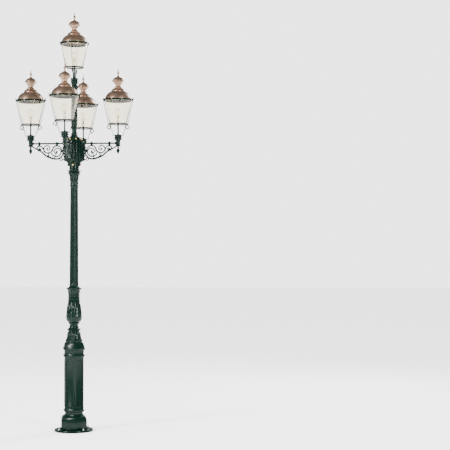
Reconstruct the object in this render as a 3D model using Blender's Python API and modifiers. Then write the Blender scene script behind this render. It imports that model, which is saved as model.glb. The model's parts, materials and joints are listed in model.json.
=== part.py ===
"""Street lamp post with five lanterns: one on top and four on scrolled arms.

The post is a stack of hollow castings on a foot flange: pedestal, shoulder, baluster, fluted
shaft, capital, hub and stem. Each lantern is a yoke with a glass cone, a lamp and a copper hood
that hinges open. Metres, +Z up, origin at the middle of the foot flange's underside, +X along the
right arm and -Y along the front arm.
"""

import math

import bmesh
import bpy
from mathutils import Matrix, Vector

# How finely round shapes are cut
POST_SIDES = 16
LANTERN_SIDES = 12
SMALL_SIDES = 8
ARC_STEPS = 2

# Gaps
SEAT_GAP = 0.0003  # between pieces that rest on each other
FIT_GAP = 0.0003  # around a tube or pin in its hole
SPIGOT_GAP = 0.001
DOOR_GAP = 0.002

# Foot flange
FLANGE_R = 0.261
FLANGE_T = 0.030
ANCHOR_CIRCLE_R = 0.231
ANCHOR_HOLE_R = 0.010
ANCHORS = 4
CABLE_ENTRY_R = 0.060

# Pedestal, a hollow hexagon whose radii run to its corners
PEDESTAL_SIDES = 6
PEDESTAL_TURN = math.radians(-14)
PEDESTAL_H = 1.162
PLINTH_R = 0.196
PLINTH_H = 0.122
BODY_R = 0.146
PEDESTAL_WALL = 0.010
BODY_FOOT_H = 0.272
BODY_TOP_DROP = 0.202
PEDESTAL_TOP_R = 0.133
PANEL_W = 0.100
PANEL_DEPTH = 0.005
PANEL_MARGIN = 0.030

# Service door in the pedestal's back face
DOOR_W = 0.096
DOOR_H = 0.420
DOOR_T = 0.006
DOOR_SILL = 0.400
DOOR_KNUCKLE_R = 0.004
DOOR_KNUCKLE_L = 0.030
LOCK_HEAD_R = 0.009
LOCK_SPINDLE_R = 0.006
LOCK_TONGUE = 0.026
LOCK_TONGUE_T = 0.003
LOCK_INSET = 0.018
LOCK_SIDES = 12
LOCK_GAP = 0.0005

# Terminal box inside the pedestal
BOX_W = 0.070
BOX_D = 0.045
BOX_H = 0.190
BOX_SILL = 0.560

# Castings between pedestal and hub
CABLE_WAY_R = 0.040
CASTING_WALL = 0.014
NECK_WAY_R = 0.020
SHOULDER_H = 0.229
SHOULDER_FOOT_R = 0.108
NECK_R = 0.0575
BALUSTER_H = 0.524
BELLY_R = 0.102
WAIST_R = 0.0687
SHAFT_H = 1.340
SHAFT_FOOT_R = 0.0607
SHAFT_TOP_R = 0.0530
FLUTES = 16
FLUTE_DEPTH = 0.0045
CAPITAL_H = 0.234
CAPITAL_R = 0.098
RING_PROUD = 0.007

# Hub, and the brackets' root plates that are bolted to it
HUB_H = 0.500
HUB_FLAT = 0.0685
HUB_CORNER = 0.050
HUB_COLLAR_H = 0.081
HUB_SHAFT_H = 0.436
HUB_TOP_R = 0.034
ROOT_T = 0.015
ROOT_W = 0.112
ROOT_LUG_W = 0.044
ROOT_TOP = 0.083
ROOT_WAIST = 0.045
PILASTER_R = 0.118
PILASTER_W = 0.066
PILASTER_TOP = 0.036
PILASTER_FOOT = 0.244
PILASTER_SLOPE = 0.028
LUG_FOOT = 0.308

# Arms
ARM_REACH = 0.600
ARM_ABOVE_HUB_FOOT = 0.353
TUBE_R = 0.0105
TUBE_BORE_R = 0.0075
TUBE_SEAT = 0.020
SCROLL_DROP = 0.212
SCROLL_T = 0.012
CLIP_W = 0.030
CLIP_T = 0.026
CLIP_RISE = 0.025
CLIP_FALL = 0.036
CLIP_PLACES = (0.228, 0.796)
SOCKET_R = 0.031
SOCKET_RISE = 0.038
SOCKET_FALL = 0.030
SOCKET_BOSS_R = 0.022
SOCKET_BOSS_L = 0.014
SPIGOT_R = 0.022
SPIGOT_H = 0.026
DROP_H = 0.116
DROP_R = 0.022

# Stem between hub and top lantern
STEM_H = 0.660
STEM_FOOT_R = 0.047
STEM_TOP_R = 0.033
STEM_COLLAR_R = 0.057

# Lantern, from the foot of its cup
CUP_R = 0.050
CUP_H = 0.076
LAMP_TUBE_R = 0.0105
LAMP_TUBE_BORE_R = 0.0080
STRAP_T = 0.007
STRAP_W = 0.014
STRAP_FOOT_X = 0.074
RING_Z = 0.212
RING_T = 0.010
RING_EDGE = 0.012
RING_LEDGE = 0.014
LOOP_R = 0.0245
LOOP_T = 0.011
PLATE_T = 0.002
GLASS_FOOT_R = 0.117
GLASS_TOP_R = 0.186
GLASS_T = 0.003
GLASS_H = 0.330
HOLDER_R = 0.021
HOLDER_H = 0.085
BULB_R = 0.054
BULB_H = 0.130
RIM_LEDGE = 0.041
RIM_EDGE = 0.0105
RIM_SKIRT = 0.024
RIM_T = 0.004
ROD_R = 0.0035
BRIM_OVERHANG = 0.003
BRIM_W = 0.0225
HOOD_T = 0.0025
DOME_H = 0.102
SHOULDER_R = 0.098
NECK_RING_R = 0.0555
HOOD_NECK_R = 0.038
CROWN_R = 0.0825
FINIAL_KNOB_R = 0.0195
HINGE_OUT = 0.007
HINGE_KNUCKLE_R = 0.005
HINGE_PIN_R = 0.0025
KNUCKLE_W = 0.012
EAR_W = 0.008
LUG_W = 0.032
SCREW_LUG_W = 0.020
TAB_W = 0.022
TAB_T = 0.0045
SCREW_HEAD_R = 0.007
SCREW_HEAD_H = 0.011
SCREW_R = 0.003
SCREW_DEPTH = 0.008
SCREW_HOLE_R = 0.0036

# Heights of the stack
PEDESTAL_Z = FLANGE_T + SEAT_GAP
SHOULDER_Z = PEDESTAL_Z + PEDESTAL_H + SEAT_GAP
BALUSTER_Z = SHOULDER_Z + SHOULDER_H + SEAT_GAP
SHAFT_Z = BALUSTER_Z + BALUSTER_H + SEAT_GAP
CAPITAL_Z = SHAFT_Z + SHAFT_H + SEAT_GAP
HUB_Z = CAPITAL_Z + CAPITAL_H + SEAT_GAP
STEM_Z = HUB_Z + HUB_H + SEAT_GAP
ARM_Z = HUB_Z + ARM_ABOVE_HUB_FOOT
ARM_SEAT_Z = ARM_Z + SOCKET_RISE + SEAT_GAP
TOP_SEAT_Z = STEM_Z + STEM_H + SEAT_GAP

# Places inside a lantern
RING_R = GLASS_FOOT_R + RING_EDGE
RING_BORE_R = GLASS_FOOT_R - RING_LEDGE
RIM_R = GLASS_TOP_R + RIM_EDGE
RIM_BORE_R = GLASS_TOP_R - RIM_LEDGE
HOOD_R = RIM_R + BRIM_OVERHANG
DOME_R = HOOD_R - BRIM_W
GLASS_Z = RING_Z + RING_T + SEAT_GAP
PLATE_Z = RING_Z + RING_T + SEAT_GAP
HOLDER_Z = PLATE_Z + PLATE_T
BULB_Z = HOLDER_Z + HOLDER_H + SEAT_GAP
RIM_TOP_Z = GLASS_Z + GLASS_H + SEAT_GAP + RIM_T
HOOD_Z = RIM_TOP_Z + SEAT_GAP
HINGE_X = HOOD_R + HINGE_OUT
HINGE_Z = HOOD_Z + HOOD_T
SCREW_X = HOOD_R + 0.002

ARMS = {"right": 0, "back": 90, "left": 180, "front": 270}
LANTERN_TURNS = {"right": 0, "back": 0, "left": 180, "front": 180, "top": 90}

UPRIGHT = Matrix.Rotation(math.pi / 2, 4, "X")


# Tools


def material(name, colour, roughness, metallic=0.0, alpha=1.0):
    made = bpy.data.materials.new(name)
    made.use_nodes = True
    shader = made.node_tree.nodes["Principled BSDF"]
    shader.inputs["Base Color"].default_value = (*colour, 1)
    shader.inputs["Roughness"].default_value = roughness
    shader.inputs["Metallic"].default_value = metallic
    shader.inputs["Alpha"].default_value = alpha
    return made


def link(name, data):
    """A new object of that mesh or curve, in the workshop collection until it is placed."""
    obj = bpy.data.objects.new(name, data)
    bpy.data.collections["workshop"].objects.link(obj)
    return obj


def baked(obj):
    """The object as its modifiers or its curve settings make it, as one welded mesh at the origin."""
    bpy.context.view_layer.update()
    graph = bpy.context.evaluated_depsgraph_get()
    mesh = bpy.data.meshes.new_from_object(obj.evaluated_get(graph))
    mesh.transform(obj.matrix_world)
    cage = bmesh.new()
    cage.from_mesh(mesh)
    bmesh.ops.remove_doubles(cage, verts=cage.verts, dist=1e-6)
    cage.to_mesh(mesh)
    cage.free()
    name = obj.name
    bpy.data.objects.remove(obj)
    return link(name, mesh)


def moved(obj, matrix):
    obj.data.transform(matrix)
    return obj


def combined(first, others, operation):
    """first with the others added to it or cut from it, one after another."""
    for other in others:
        modifier = first.modifiers.new(operation, "BOOLEAN")
        modifier.operation = operation
        modifier.object = other
        first = baked(first)
        bpy.data.objects.remove(other)
    return first


def joined(first, *others):
    return combined(first, others, "UNION")


def cut(first, *others):
    return combined(first, others, "DIFFERENCE")


def arc(start, end, sag, steps=ARC_STEPS):
    """The points after start of an arc to end that stands sag to the left of the straight way."""
    start, end = Vector(start), Vector(end)
    way = end - start
    half_turn = 2 * math.atan(2 * sag / way.length)
    to_centre = Vector((way.y, -way.x)).normalized() * (way.length / 2 / math.tan(half_turn))
    centre = (start + end) / 2 + to_centre
    points = []
    for step in range(1, steps + 1):
        turn = Matrix.Rotation(-2 * half_turn * step / steps, 2)
        points.append(tuple(centre + turn @ (start - centre)))
    return points


def outline(moves):
    """The points of a profile: a move is (r, z), or (r, z, sag) for an arc to there that swells by sag."""
    points = []
    for r, z, *sag in moves:
        points += arc(points[-1], (r, z), sag[0]) if sag else [(r, z)]
    return points


def turned(name, moves, sides, bored=True):
    """A turned piece. A bored one's profile closes on itself, and a solid one's ends on the axis."""
    points = outline(moves)
    edges = [(i, i + 1) for i in range(len(points) - 1)]
    if bored:
        edges.append((len(points) - 1, 0))
    mesh = bpy.data.meshes.new(name)
    mesh.from_pydata([(r, 0, z) for r, z in points], edges, [])
    obj = link(name, mesh)
    screw = obj.modifiers.new("turn", "SCREW")
    screw.steps = screw.render_steps = sides
    screw.use_merge_vertices = True
    screw.merge_threshold = 1e-5
    return baked(obj)


def cylinder(name, radius, low, high, sides=SMALL_SIDES, axis="Z", at=(0, 0, 0)):
    """A cylinder from low to high along an axis through the point at."""
    cage = bmesh.new()
    bmesh.ops.create_cone(
        cage, cap_ends=True, segments=sides, radius1=radius, radius2=radius, depth=high - low
    )
    mesh = bpy.data.meshes.new(name)
    cage.to_mesh(mesh)
    cage.free()
    turns = {"X": Matrix.Rotation(math.pi / 2, 4, "Y"), "Y": Matrix.Rotation(-math.pi / 2, 4, "X")}
    mesh.transform(Matrix.Translation((0, 0, (low + high) / 2)) @ Matrix.Rotation(-math.pi / 2, 4, "Z"))
    mesh.transform(Matrix.Translation(at) @ turns.get(axis, Matrix.Identity(4)))
    return link(name, mesh)


def block(name, low, high):
    """A box between two corners."""
    low, high = Vector(low), Vector(high)
    cage = bmesh.new()
    bmesh.ops.create_cube(cage, size=1)
    mesh = bpy.data.meshes.new(name)
    cage.to_mesh(mesh)
    cage.free()
    mesh.transform(Matrix.Translation((low + high) / 2) @ Matrix.Diagonal((*(high - low), 1)))
    return link(name, mesh)


def plate(name, loops, thickness):
    """A flat piece in XY, half its thickness to each side: the first loop is its edge, the rest holes."""
    curve = bpy.data.curves.new(name, "CURVE")
    curve.dimensions = "2D"
    curve.fill_mode = "BOTH"
    curve.extrude = thickness / 2
    for loop in loops:
        spline = curve.splines.new("POLY")
        spline.points.add(len(loop) - 1)
        for point, (x, y) in zip(spline.points, loop):
            point.co = (x, y, 0, 1)
        spline.use_cyclic_u = True
    return baked(link(name, curve))


def upright_plate(name, loops, thickness):
    """A flat piece whose outline (x, z) stands in the XZ plane."""
    return moved(plate(name, loops, thickness), UPRIGHT)


def circle(radius, sides, centre=(0, 0)):
    turns = [2 * math.pi * i / sides for i in range(sides)]
    return [(centre[0] + radius * math.cos(t), centre[1] + radius * math.sin(t)) for t in turns]


def smooth(points, steps=2):
    """A smooth line through the points, with steps pieces between two of them."""
    knots = [Vector(p) for p in points]
    knots = [2 * knots[0] - knots[1], *knots, 2 * knots[-1] - knots[-2]]
    line = [knots[1]]
    for a, b, c, d in zip(knots, knots[1:], knots[2:], knots[3:]):
        for step in range(1, steps + 1):
            t = step / steps
            line.append(
                b + (c - a) * t / 2 + (2 * a - 5 * b + 4 * c - d) * t * t / 2
                + (3 * b - a - 3 * c + d) * t**3 / 2
            )
    return line


def ribbon(line, width):
    """The closed outline of a bar of that width along a line."""
    line = [Vector(p) for p in line]
    ways = [b - a for a, b in zip(line, line[1:])]
    sides = []
    for before, after in zip([ways[0], *ways], [*ways, ways[-1]]):
        way = before.normalized() + after.normalized()
        sides.append(Vector((-way.y, way.x)).normalized() * (width / 2))
    left = [tuple(p + s) for p, s in zip(line, sides)]
    right = [tuple(p - s) for p, s in zip(line, sides)]
    return left + right[::-1]


def bar(name, line, width, thickness):
    """A flat bar that follows a line (x, z) in the XZ plane."""
    return upright_plate(name, [ribbon(line, width)], thickness)


def arch(width, height, foot):
    """A round-headed outline (x, z), height tall over all, that stands at foot."""
    half = width / 2
    return [(-half, foot), (half, foot), (half, foot + height - half)] + arc(
        (half, foot + height - half), (-half, foot + height - half), -half, 8
    )


def place(template, name, finish, parent=None, at=(0, 0, 0), turn=0.0):
    """A finished object that shares the template's mesh."""
    template.name = "pattern_" + name
    obj = bpy.data.objects.new(name, template.data)
    bpy.data.collections["street_lamp"].objects.link(obj)
    if not template.data.materials:
        template.data.materials.append(finish)
        template.data.shade_smooth()
        template.data.set_sharp_from_angle(angle=math.radians(35))
    obj.parent = parent
    obj.location = at
    obj.rotation_euler.z = turn
    return obj


def group(name, at=(0, 0, 0), turn=0.0):
    """An empty that carries an assembly."""
    obj = bpy.data.objects.new(name, None)
    bpy.data.collections["street_lamp"].objects.link(obj)
    obj.location = at
    obj.rotation_euler.z = turn
    return obj


# Post


def foot_flange():
    flange = turned(
        "foot_flange",
        [
            (CABLE_ENTRY_R, FLANGE_T),
            (FLANGE_R - 0.008, FLANGE_T),
            (FLANGE_R, FLANGE_T - 0.008),
            (FLANGE_R, 0),
            (CABLE_ENTRY_R, 0),
        ],
        POST_SIDES,
    )
    holes = []
    for i in range(ANCHORS):
        turn = math.tau * (i + 0.5) / ANCHORS
        centre = (ANCHOR_CIRCLE_R * math.cos(turn), ANCHOR_CIRCLE_R * math.sin(turn), 0)
        holes.append(cylinder("hole", ANCHOR_HOLE_R, -0.01, FLANGE_T + 0.01, 8, at=centre))
    return cut(flange, *holes)


def pedestal():
    """The plinth, the panelled body and its cap, cast in one and hollow, open for the service door."""
    foot, top = BODY_FOOT_H, PEDESTAL_H - BODY_TOP_DROP
    inner = BODY_R - PEDESTAL_WALL
    shell = turned(
        "pedestal",
        [
            (PEDESTAL_TOP_R, PEDESTAL_H),
            (PEDESTAL_TOP_R + 0.021, PEDESTAL_H - 0.048, 0.003),
            (BODY_R + 0.012, PEDESTAL_H - 0.074),
            (BODY_R + 0.024, PEDESTAL_H - 0.087),
            (BODY_R + 0.004, PEDESTAL_H - 0.100),
            (BODY_R + 0.004, top + 0.032),
            (BODY_R + 0.017, top + 0.023),
            (BODY_R, top + 0.012),
            (BODY_R, foot),
            (BODY_R + 0.010, foot - 0.024),
            (BODY_R - 0.009, foot - 0.042),
            (BODY_R - 0.009, foot - 0.073),
            (BODY_R, foot - 0.080),
            (PLINTH_R - 0.004, PLINTH_H, 0.014),
            (PLINTH_R, PLINTH_H - 0.006),
            (PLINTH_R, 0),
            (PLINTH_R - 2 * PEDESTAL_WALL, 0),
            (PLINTH_R - 2 * PEDESTAL_WALL, PLINTH_H - 0.020),
            (inner - 0.012, foot - 0.080),
            (inner - 0.012, foot - 0.030),
            (inner, foot),
            (inner, PEDESTAL_H - 0.110),
            (CABLE_WAY_R + 0.030, PEDESTAL_H - 0.020),
            (CABLE_WAY_R + 0.030, PEDESTAL_H),
        ],
        PEDESTAL_SIDES,
    )
    flat = BODY_R * math.cos(math.pi / PEDESTAL_SIDES)
    sill = foot + PANEL_MARGIN
    panels = []
    for face in range(1, PEDESTAL_SIDES):
        panel = upright_plate("panel", [arch(PANEL_W, top - PANEL_MARGIN - sill, sill)], 0.04)
        moved(panel, Matrix.Translation((0, flat - PANEL_DEPTH + 0.02, 0)))
        panels.append(moved(panel, Matrix.Rotation(math.tau * face / PEDESTAL_SIDES, 4, "Z")))
    opening = upright_plate("opening", [arch(DOOR_W, DOOR_H, DOOR_SILL)], 0.08)
    moved(opening, Matrix.Translation((0, flat, 0)))
    notches = [
        cylinder("notch", DOOR_KNUCKLE_R + 0.001, low - 0.001, low + DOOR_KNUCKLE_L + 0.001, 8,
                 at=(DOOR_W / 2 - DOOR_GAP, flat, 0))
        for low in knuckle_feet()
    ]
    return cut(shell, *panels, opening, *notches)


def knuckle_feet():
    straight = DOOR_H - DOOR_W / 2
    return [DOOR_SILL + 0.040, DOOR_SILL + straight - 0.040 - DOOR_KNUCKLE_L]


def service_door():
    """The door about its hinge line, which runs along the outer edge of its right side."""
    width = DOOR_W - 2 * DOOR_GAP
    leaf = upright_plate("door", [arch(width, DOOR_H - 2 * DOOR_GAP, DOOR_SILL + DOOR_GAP)], DOOR_T)
    moved(leaf, Matrix.Translation((-width / 2, -DOOR_T / 2, 0)))
    knuckles = [
        cylinder("knuckle", DOOR_KNUCKLE_R, low, low + DOOR_KNUCKLE_L, 8) for low in knuckle_feet()
    ]
    hole = cylinder("hole", LOCK_SPINDLE_R + LOCK_GAP, -0.02, 0.02, LOCK_SIDES, "Y", lock_place())
    return cut(joined(leaf, *knuckles), hole)


def lock_place():
    """The lock's axis, seen from the door's hinge line."""
    return (-(DOOR_W - 2 * DOOR_GAP - LOCK_INSET), 0, DOOR_SILL + DOOR_H / 2)


def door_lock():
    """A quarter-turn lock: a head outside, a spindle through the door and a tongue behind the wall."""
    behind_wall = -PEDESTAL_WALL - 0.001
    head = cylinder("lock", LOCK_HEAD_R, SEAT_GAP, 0.004, LOCK_SIDES, "Y")
    spindle = cylinder("spindle", LOCK_SPINDLE_R, behind_wall - 0.001, 0.002, LOCK_SIDES, "Y")
    tongue = block(
        "tongue",
        (-LOCK_SPINDLE_R, behind_wall - LOCK_TONGUE_T, -LOCK_SPINDLE_R),
        (LOCK_SPINDLE_R, behind_wall, LOCK_TONGUE),
    )
    return joined(head, spindle, tongue)


def terminal_box():
    """The fused connection box, on the wall across from the door."""
    flat = (BODY_R - PEDESTAL_WALL) * math.cos(math.pi / PEDESTAL_SIDES) - SEAT_GAP
    return block("box", (-BOX_W / 2, -flat, BOX_SILL), (BOX_W / 2, -flat + BOX_D, BOX_SILL + BOX_H))


def shoulder():
    """The leafed bell between the pedestal and the baluster."""
    return turned(
        "shoulder",
        [
            (NECK_R, SHOULDER_H),
            (NECK_R + 0.006, SHOULDER_H - 0.022),
            (NECK_R + 0.017, SHOULDER_H - 0.046),
            (NECK_R + 0.033, SHOULDER_H - 0.060),
            (NECK_R + 0.014, SHOULDER_H - 0.078),
            (NECK_R + 0.028, SHOULDER_H - 0.110),
            (NECK_R + 0.035, 0.065),
            (SHOULDER_FOOT_R, 0.016, -0.006),
            (SHOULDER_FOOT_R, 0),
            (SHOULDER_FOOT_R - CASTING_WALL, 0),
            (SHOULDER_FOOT_R - CASTING_WALL, 0.020),
            (NECK_R + 0.028 - CASTING_WALL, 0.070),
            (CABLE_WAY_R, SHOULDER_H - 0.070),
            (CABLE_WAY_R, SHOULDER_H),
        ],
        POST_SIDES,
    )


def baluster():
    """The leafed vase that carries the shaft."""
    top = BALUSTER_H
    seat = SHAFT_FOOT_R + 0.005
    return turned(
        "baluster",
        [
            (seat, top),
            (WAIST_R + 0.028, top - 0.024),
            (WAIST_R + 0.030, top - 0.032),
            (WAIST_R + 0.012, top - 0.056),
            (WAIST_R, top - 0.128),
            (WAIST_R + 0.005, top - 0.198),
            (BELLY_R, 0.118, 0.006),
            (BELLY_R - 0.003, 0.084),
            (NECK_R + 0.015, 0.044, 0.005),
            (NECK_R + 0.018, 0.028),
            (NECK_R, 0.010),
            (NECK_R, 0),
            (CABLE_WAY_R, 0),
            (CABLE_WAY_R, 0.030),
            (BELLY_R - CASTING_WALL, 0.090),
            (BELLY_R - CASTING_WALL, 0.140),
            (WAIST_R - CASTING_WALL, top - 0.190),
            (WAIST_R - CASTING_WALL, top - 0.070),
            (CABLE_WAY_R, top - 0.030),
            (CABLE_WAY_R, top),
        ],
        POST_SIDES,
    )


def shaft():
    """The fluted shaft, slimmer at its top."""
    edge = []
    for i in range(FLUTES):
        for share, depth in ((0.0, 0.0), (0.3, 0.0), (0.65, 1.0)):
            turn = math.tau * (i + share) / FLUTES
            radius = SHAFT_FOOT_R - FLUTE_DEPTH * depth
            edge.append((radius * math.cos(turn), radius * math.sin(turn)))
    made = plate("shaft", [edge, circle(CABLE_WAY_R, SMALL_SIDES)], SHAFT_H)
    for vertex in made.data.vertices:
        if vertex.co.z > 0 and vertex.co.xy.length > CABLE_WAY_R + 0.001:
            vertex.co.xy *= SHAFT_TOP_R / SHAFT_FOOT_R
    return moved(made, Matrix.Translation((0, 0, SHAFT_H / 2)))


def capital():
    """The collar under the hub: two rings, a leafed bell and a wide moulding."""
    top = CAPITAL_H
    bell = SHAFT_TOP_R + 0.001
    return turned(
        "capital",
        [
            (HUB_FLAT - 0.003, top),
            (HUB_FLAT - 0.003, top - 0.010),
            (CAPITAL_R, top - 0.024),
            (CAPITAL_R - 0.022, top - 0.038),
            (CAPITAL_R - 0.014, top - 0.048),
            (bell + 0.012, top - 0.064),
            (bell, top - 0.090),
            (bell, 0.098),
            (bell + RING_PROUD, 0.086),
            (bell, 0.074),
            (bell, 0.026),
            (bell + RING_PROUD, 0.014),
            (bell, 0),
            (CABLE_WAY_R, 0),
            (CABLE_WAY_R, top),
        ],
        POST_SIDES,
    )


def hub():
    """The block that the four brackets are bolted to, with a way through it for the cables."""
    flat, corner = HUB_FLAT, HUB_CORNER
    edge = []
    for i in range(4):
        for x, y in ((flat, -corner), (flat, corner)):
            turn = math.tau * i / 4
            edge.append((x * math.cos(turn) - y * math.sin(turn), x * math.sin(turn) + y * math.cos(turn)))
    core = plate("hub", [edge], HUB_SHAFT_H - HUB_COLLAR_H)
    moved(core, Matrix.Translation((0, 0, (HUB_SHAFT_H + HUB_COLLAR_H) / 2)))
    foot = cylinder("collar", HUB_FLAT - 0.003, 0, HUB_COLLAR_H + 0.010, POST_SIDES)
    cap = turned(
        "cap",
        [
            (0, HUB_H),
            (HUB_TOP_R, HUB_H),
            (HUB_TOP_R + 0.009, HUB_SHAFT_H + 0.050),
            (HUB_FLAT - 0.012, HUB_SHAFT_H + 0.002),
            (HUB_FLAT - 0.012, HUB_SHAFT_H - 0.010),
            (0, HUB_SHAFT_H - 0.010),
        ],
        POST_SIDES,
        bored=False,
    )
    way = cylinder("way", CABLE_WAY_R, -0.01, HUB_SHAFT_H - 0.01)
    neck = cylinder("neck", NECK_WAY_R, HUB_SHAFT_H - 0.02, HUB_H + 0.01)
    across = [
        cylinder("across", TUBE_BORE_R, -0.2, 0.2, 8, axis, (0, 0, ARM_ABOVE_HUB_FOOT))
        for axis in ("X", "Y")
    ]
    return cut(joined(core, foot, cap), way, neck, *across)


def stem():
    """The slim column that carries the top lantern on its spigot."""
    top = STEM_H
    return turned(
        "stem",
        [
            (LAMP_TUBE_BORE_R, top + SPIGOT_H),
            (SPIGOT_R, top + SPIGOT_H),
            (SPIGOT_R, top),
            (STEM_TOP_R + 0.004, top),
            (STEM_TOP_R + 0.004, top - 0.020),
            (STEM_COLLAR_R, top - 0.040),
            (STEM_COLLAR_R - 0.006, top - 0.054),
            (STEM_TOP_R + 0.002, top - 0.070),
            (STEM_FOOT_R - 0.007, 0.190),
            (STEM_FOOT_R - 0.003, 0.130),
            (STEM_FOOT_R - 0.010, 0.074),
            (STEM_FOOT_R, 0.058),
            (STEM_FOOT_R - 0.014, 0.038),
            (HUB_TOP_R, 0),
            (LAMP_TUBE_BORE_R, 0),
        ],
        POST_SIDES,
    )


# Arms, built along +X with the tube's line at z = 0


def scroll_point(share, fall):
    """A point of the scrollwork: share of the way from pilaster to socket, and of the full drop."""
    span = ARM_REACH - SOCKET_R - PILASTER_R
    return (PILASTER_R + share * span, -fall * SCROLL_DROP)


def scroll_line(points):
    return smooth([scroll_point(*p) for p in points], 1)


RIB = (
    (0.945, 0.26), (0.83, 0.425), (0.74, 0.53), (0.675, 0.65), (0.60, 0.79), (0.51, 0.89),
    (0.38, 0.96), (0.23, 1.00), (0.12, 0.91), (0.058, 0.74), (0.035, 0.50), (0.030, 0.24), (-0.01, 0.13),
)
WAVE = (
    (0.03, 0.38), (0.11, 0.21), (0.19, 0.14), (0.28, 0.13), (0.35, 0.22), (0.41, 0.42), (0.465, 0.545),
    (0.54, 0.615), (0.625, 0.54), (0.665, 0.365), (0.635, 0.20), (0.57, 0.145), (0.505, 0.20),
    (0.49, 0.31), (0.555, 0.375),
)
ARCH = ((0.685, 0.52), (0.70, 0.27), (0.755, 0.16), (0.815, 0.14), (0.87, 0.25), (0.83, 0.425))
CHEEK = ((0.08, 0.26), (0.069, 0.46), (0.089, 0.66), (0.142, 0.83))
STRUTS = (
    ((0.24, 0.50), (0.29, 0.97)),
    ((0.80, 0.32), (0.798, 0.47)),
    ((0.545, 0.60), (0.555, 0.85)),
    ((-0.01, 1.09), (0.060, 1.055)),
    ((0.105, 0.85), (0.105, 0.975)),
)
EYES = ((0.237, 0.495, 0.014), (0.550, 0.300, 0.011), (0.800, 0.316, 0.016))
SPIRAL_EYE = (0.237, 0.495)
SPIRAL_RADII = (0.036, 0.080)
SPIRAL_TURNS = (-20, 356)
DROP_RING = (0.098, 1.052)
DROP_RING_R = 0.020
DROP_RING_BORE_R = 0.0115


def spiral():
    """The large scroll about its eye."""
    cx, cz = scroll_point(*SPIRAL_EYE)
    steps = 12
    line = []
    for i in range(steps + 1):
        share = i / steps
        turn = math.radians(SPIRAL_TURNS[0] + share * (SPIRAL_TURNS[1] - SPIRAL_TURNS[0]))
        radius = SPIRAL_RADII[0] + share * (SPIRAL_RADII[1] - SPIRAL_RADII[0])
        line.append((cx + radius * math.cos(turn), cz + radius * math.sin(turn)))
    return line


def bracket():
    """One casting: root plate, pilaster, rib, scrolls and the two clips around the tube."""
    near, face = HUB_FLAT + SEAT_GAP, HUB_FLAT + SEAT_GAP + ROOT_T
    root = block("bracket", (near, -ROOT_W / 2, -PILASTER_TOP), (face, ROOT_W / 2, ROOT_TOP))
    slope = [
        (near + 0.002, -PILASTER_FOOT / 2),
        (PILASTER_R - 0.001, -PILASTER_FOOT / 2),
        (PILASTER_R - 0.001, -PILASTER_FOOT),
        (near + 0.002, -PILASTER_FOOT - PILASTER_SLOPE),
    ]
    pieces = [
        block("lug", (near, -ROOT_LUG_W / 2, -LUG_FOOT), (face - 0.0005, ROOT_LUG_W / 2, -0.01)),
        block("pilaster", (near + 0.001, -PILASTER_W / 2, -PILASTER_FOOT + 0.02),
              (PILASTER_R, PILASTER_W / 2, PILASTER_TOP)),
        upright_plate("slope", [slope], PILASTER_W - 0.002),
        bar("rib", scroll_line(RIB), SCROLL_T + 0.003, SCROLL_T + 0.004),
        bar("wave", scroll_line(WAVE), SCROLL_T - 0.001, SCROLL_T),
        bar("spiral", spiral(), SCROLL_T - 0.002, SCROLL_T + 0.0008),
        bar("arch", scroll_line(ARCH), SCROLL_T - 0.002, SCROLL_T + 0.0016),
        bar("cheek", scroll_line(CHEEK), SCROLL_T - 0.003, SCROLL_T - 0.0008),
    ]
    for i, ends in enumerate(STRUTS):
        line = [scroll_point(*p) for p in ends]
        pieces.append(bar("strut", line, SCROLL_T - 0.003, SCROLL_T + 0.002 + i * 0.0004))
    for share, fall, radius in EYES:
        centre = scroll_point(share, fall)
        pieces.append(upright_plate("eye", [circle(radius, 6, centre)], SCROLL_T + 0.0065))
    ring_at = scroll_point(*DROP_RING)
    loops = [circle(radius, 10, ring_at) for radius in (DROP_RING_R, DROP_RING_BORE_R)]
    pieces.append(upright_plate("ring", loops, SCROLL_T - 0.0016))
    for share in CLIP_PLACES:
        x = scroll_point(share, 0)[0]
        pieces.append(block("clip", (x - CLIP_W / 2, -CLIP_T / 2, -CLIP_FALL),
                            (x + CLIP_W / 2, CLIP_T / 2, CLIP_RISE)))
    whole = joined(root, *pieces)
    hole = cylinder("hole", TUBE_R + FIT_GAP, PILASTER_R - TUBE_SEAT, ARM_REACH, SMALL_SIDES, "X")
    cable = cylinder("cable", TUBE_BORE_R, HUB_FLAT - 0.01, PILASTER_R, 8, "X")
    return cut(whole, hole, cable)


def arm_tube():
    made = turned(
        "arm_tube",
        [(TUBE_R, tube_length()), (TUBE_R, 0), (TUBE_BORE_R, 0), (TUBE_BORE_R, tube_length())],
        SMALL_SIDES,
    )
    return moved(made, Matrix.Translation((tube_start(), 0, 0)) @ Matrix.Rotation(math.pi / 2, 4, "Y"))


def tube_start():
    return PILASTER_R - TUBE_SEAT + SEAT_GAP


def tube_length():
    return ARM_REACH - SOCKET_R + TUBE_SEAT / 2 - SEAT_GAP - tube_start()


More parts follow.
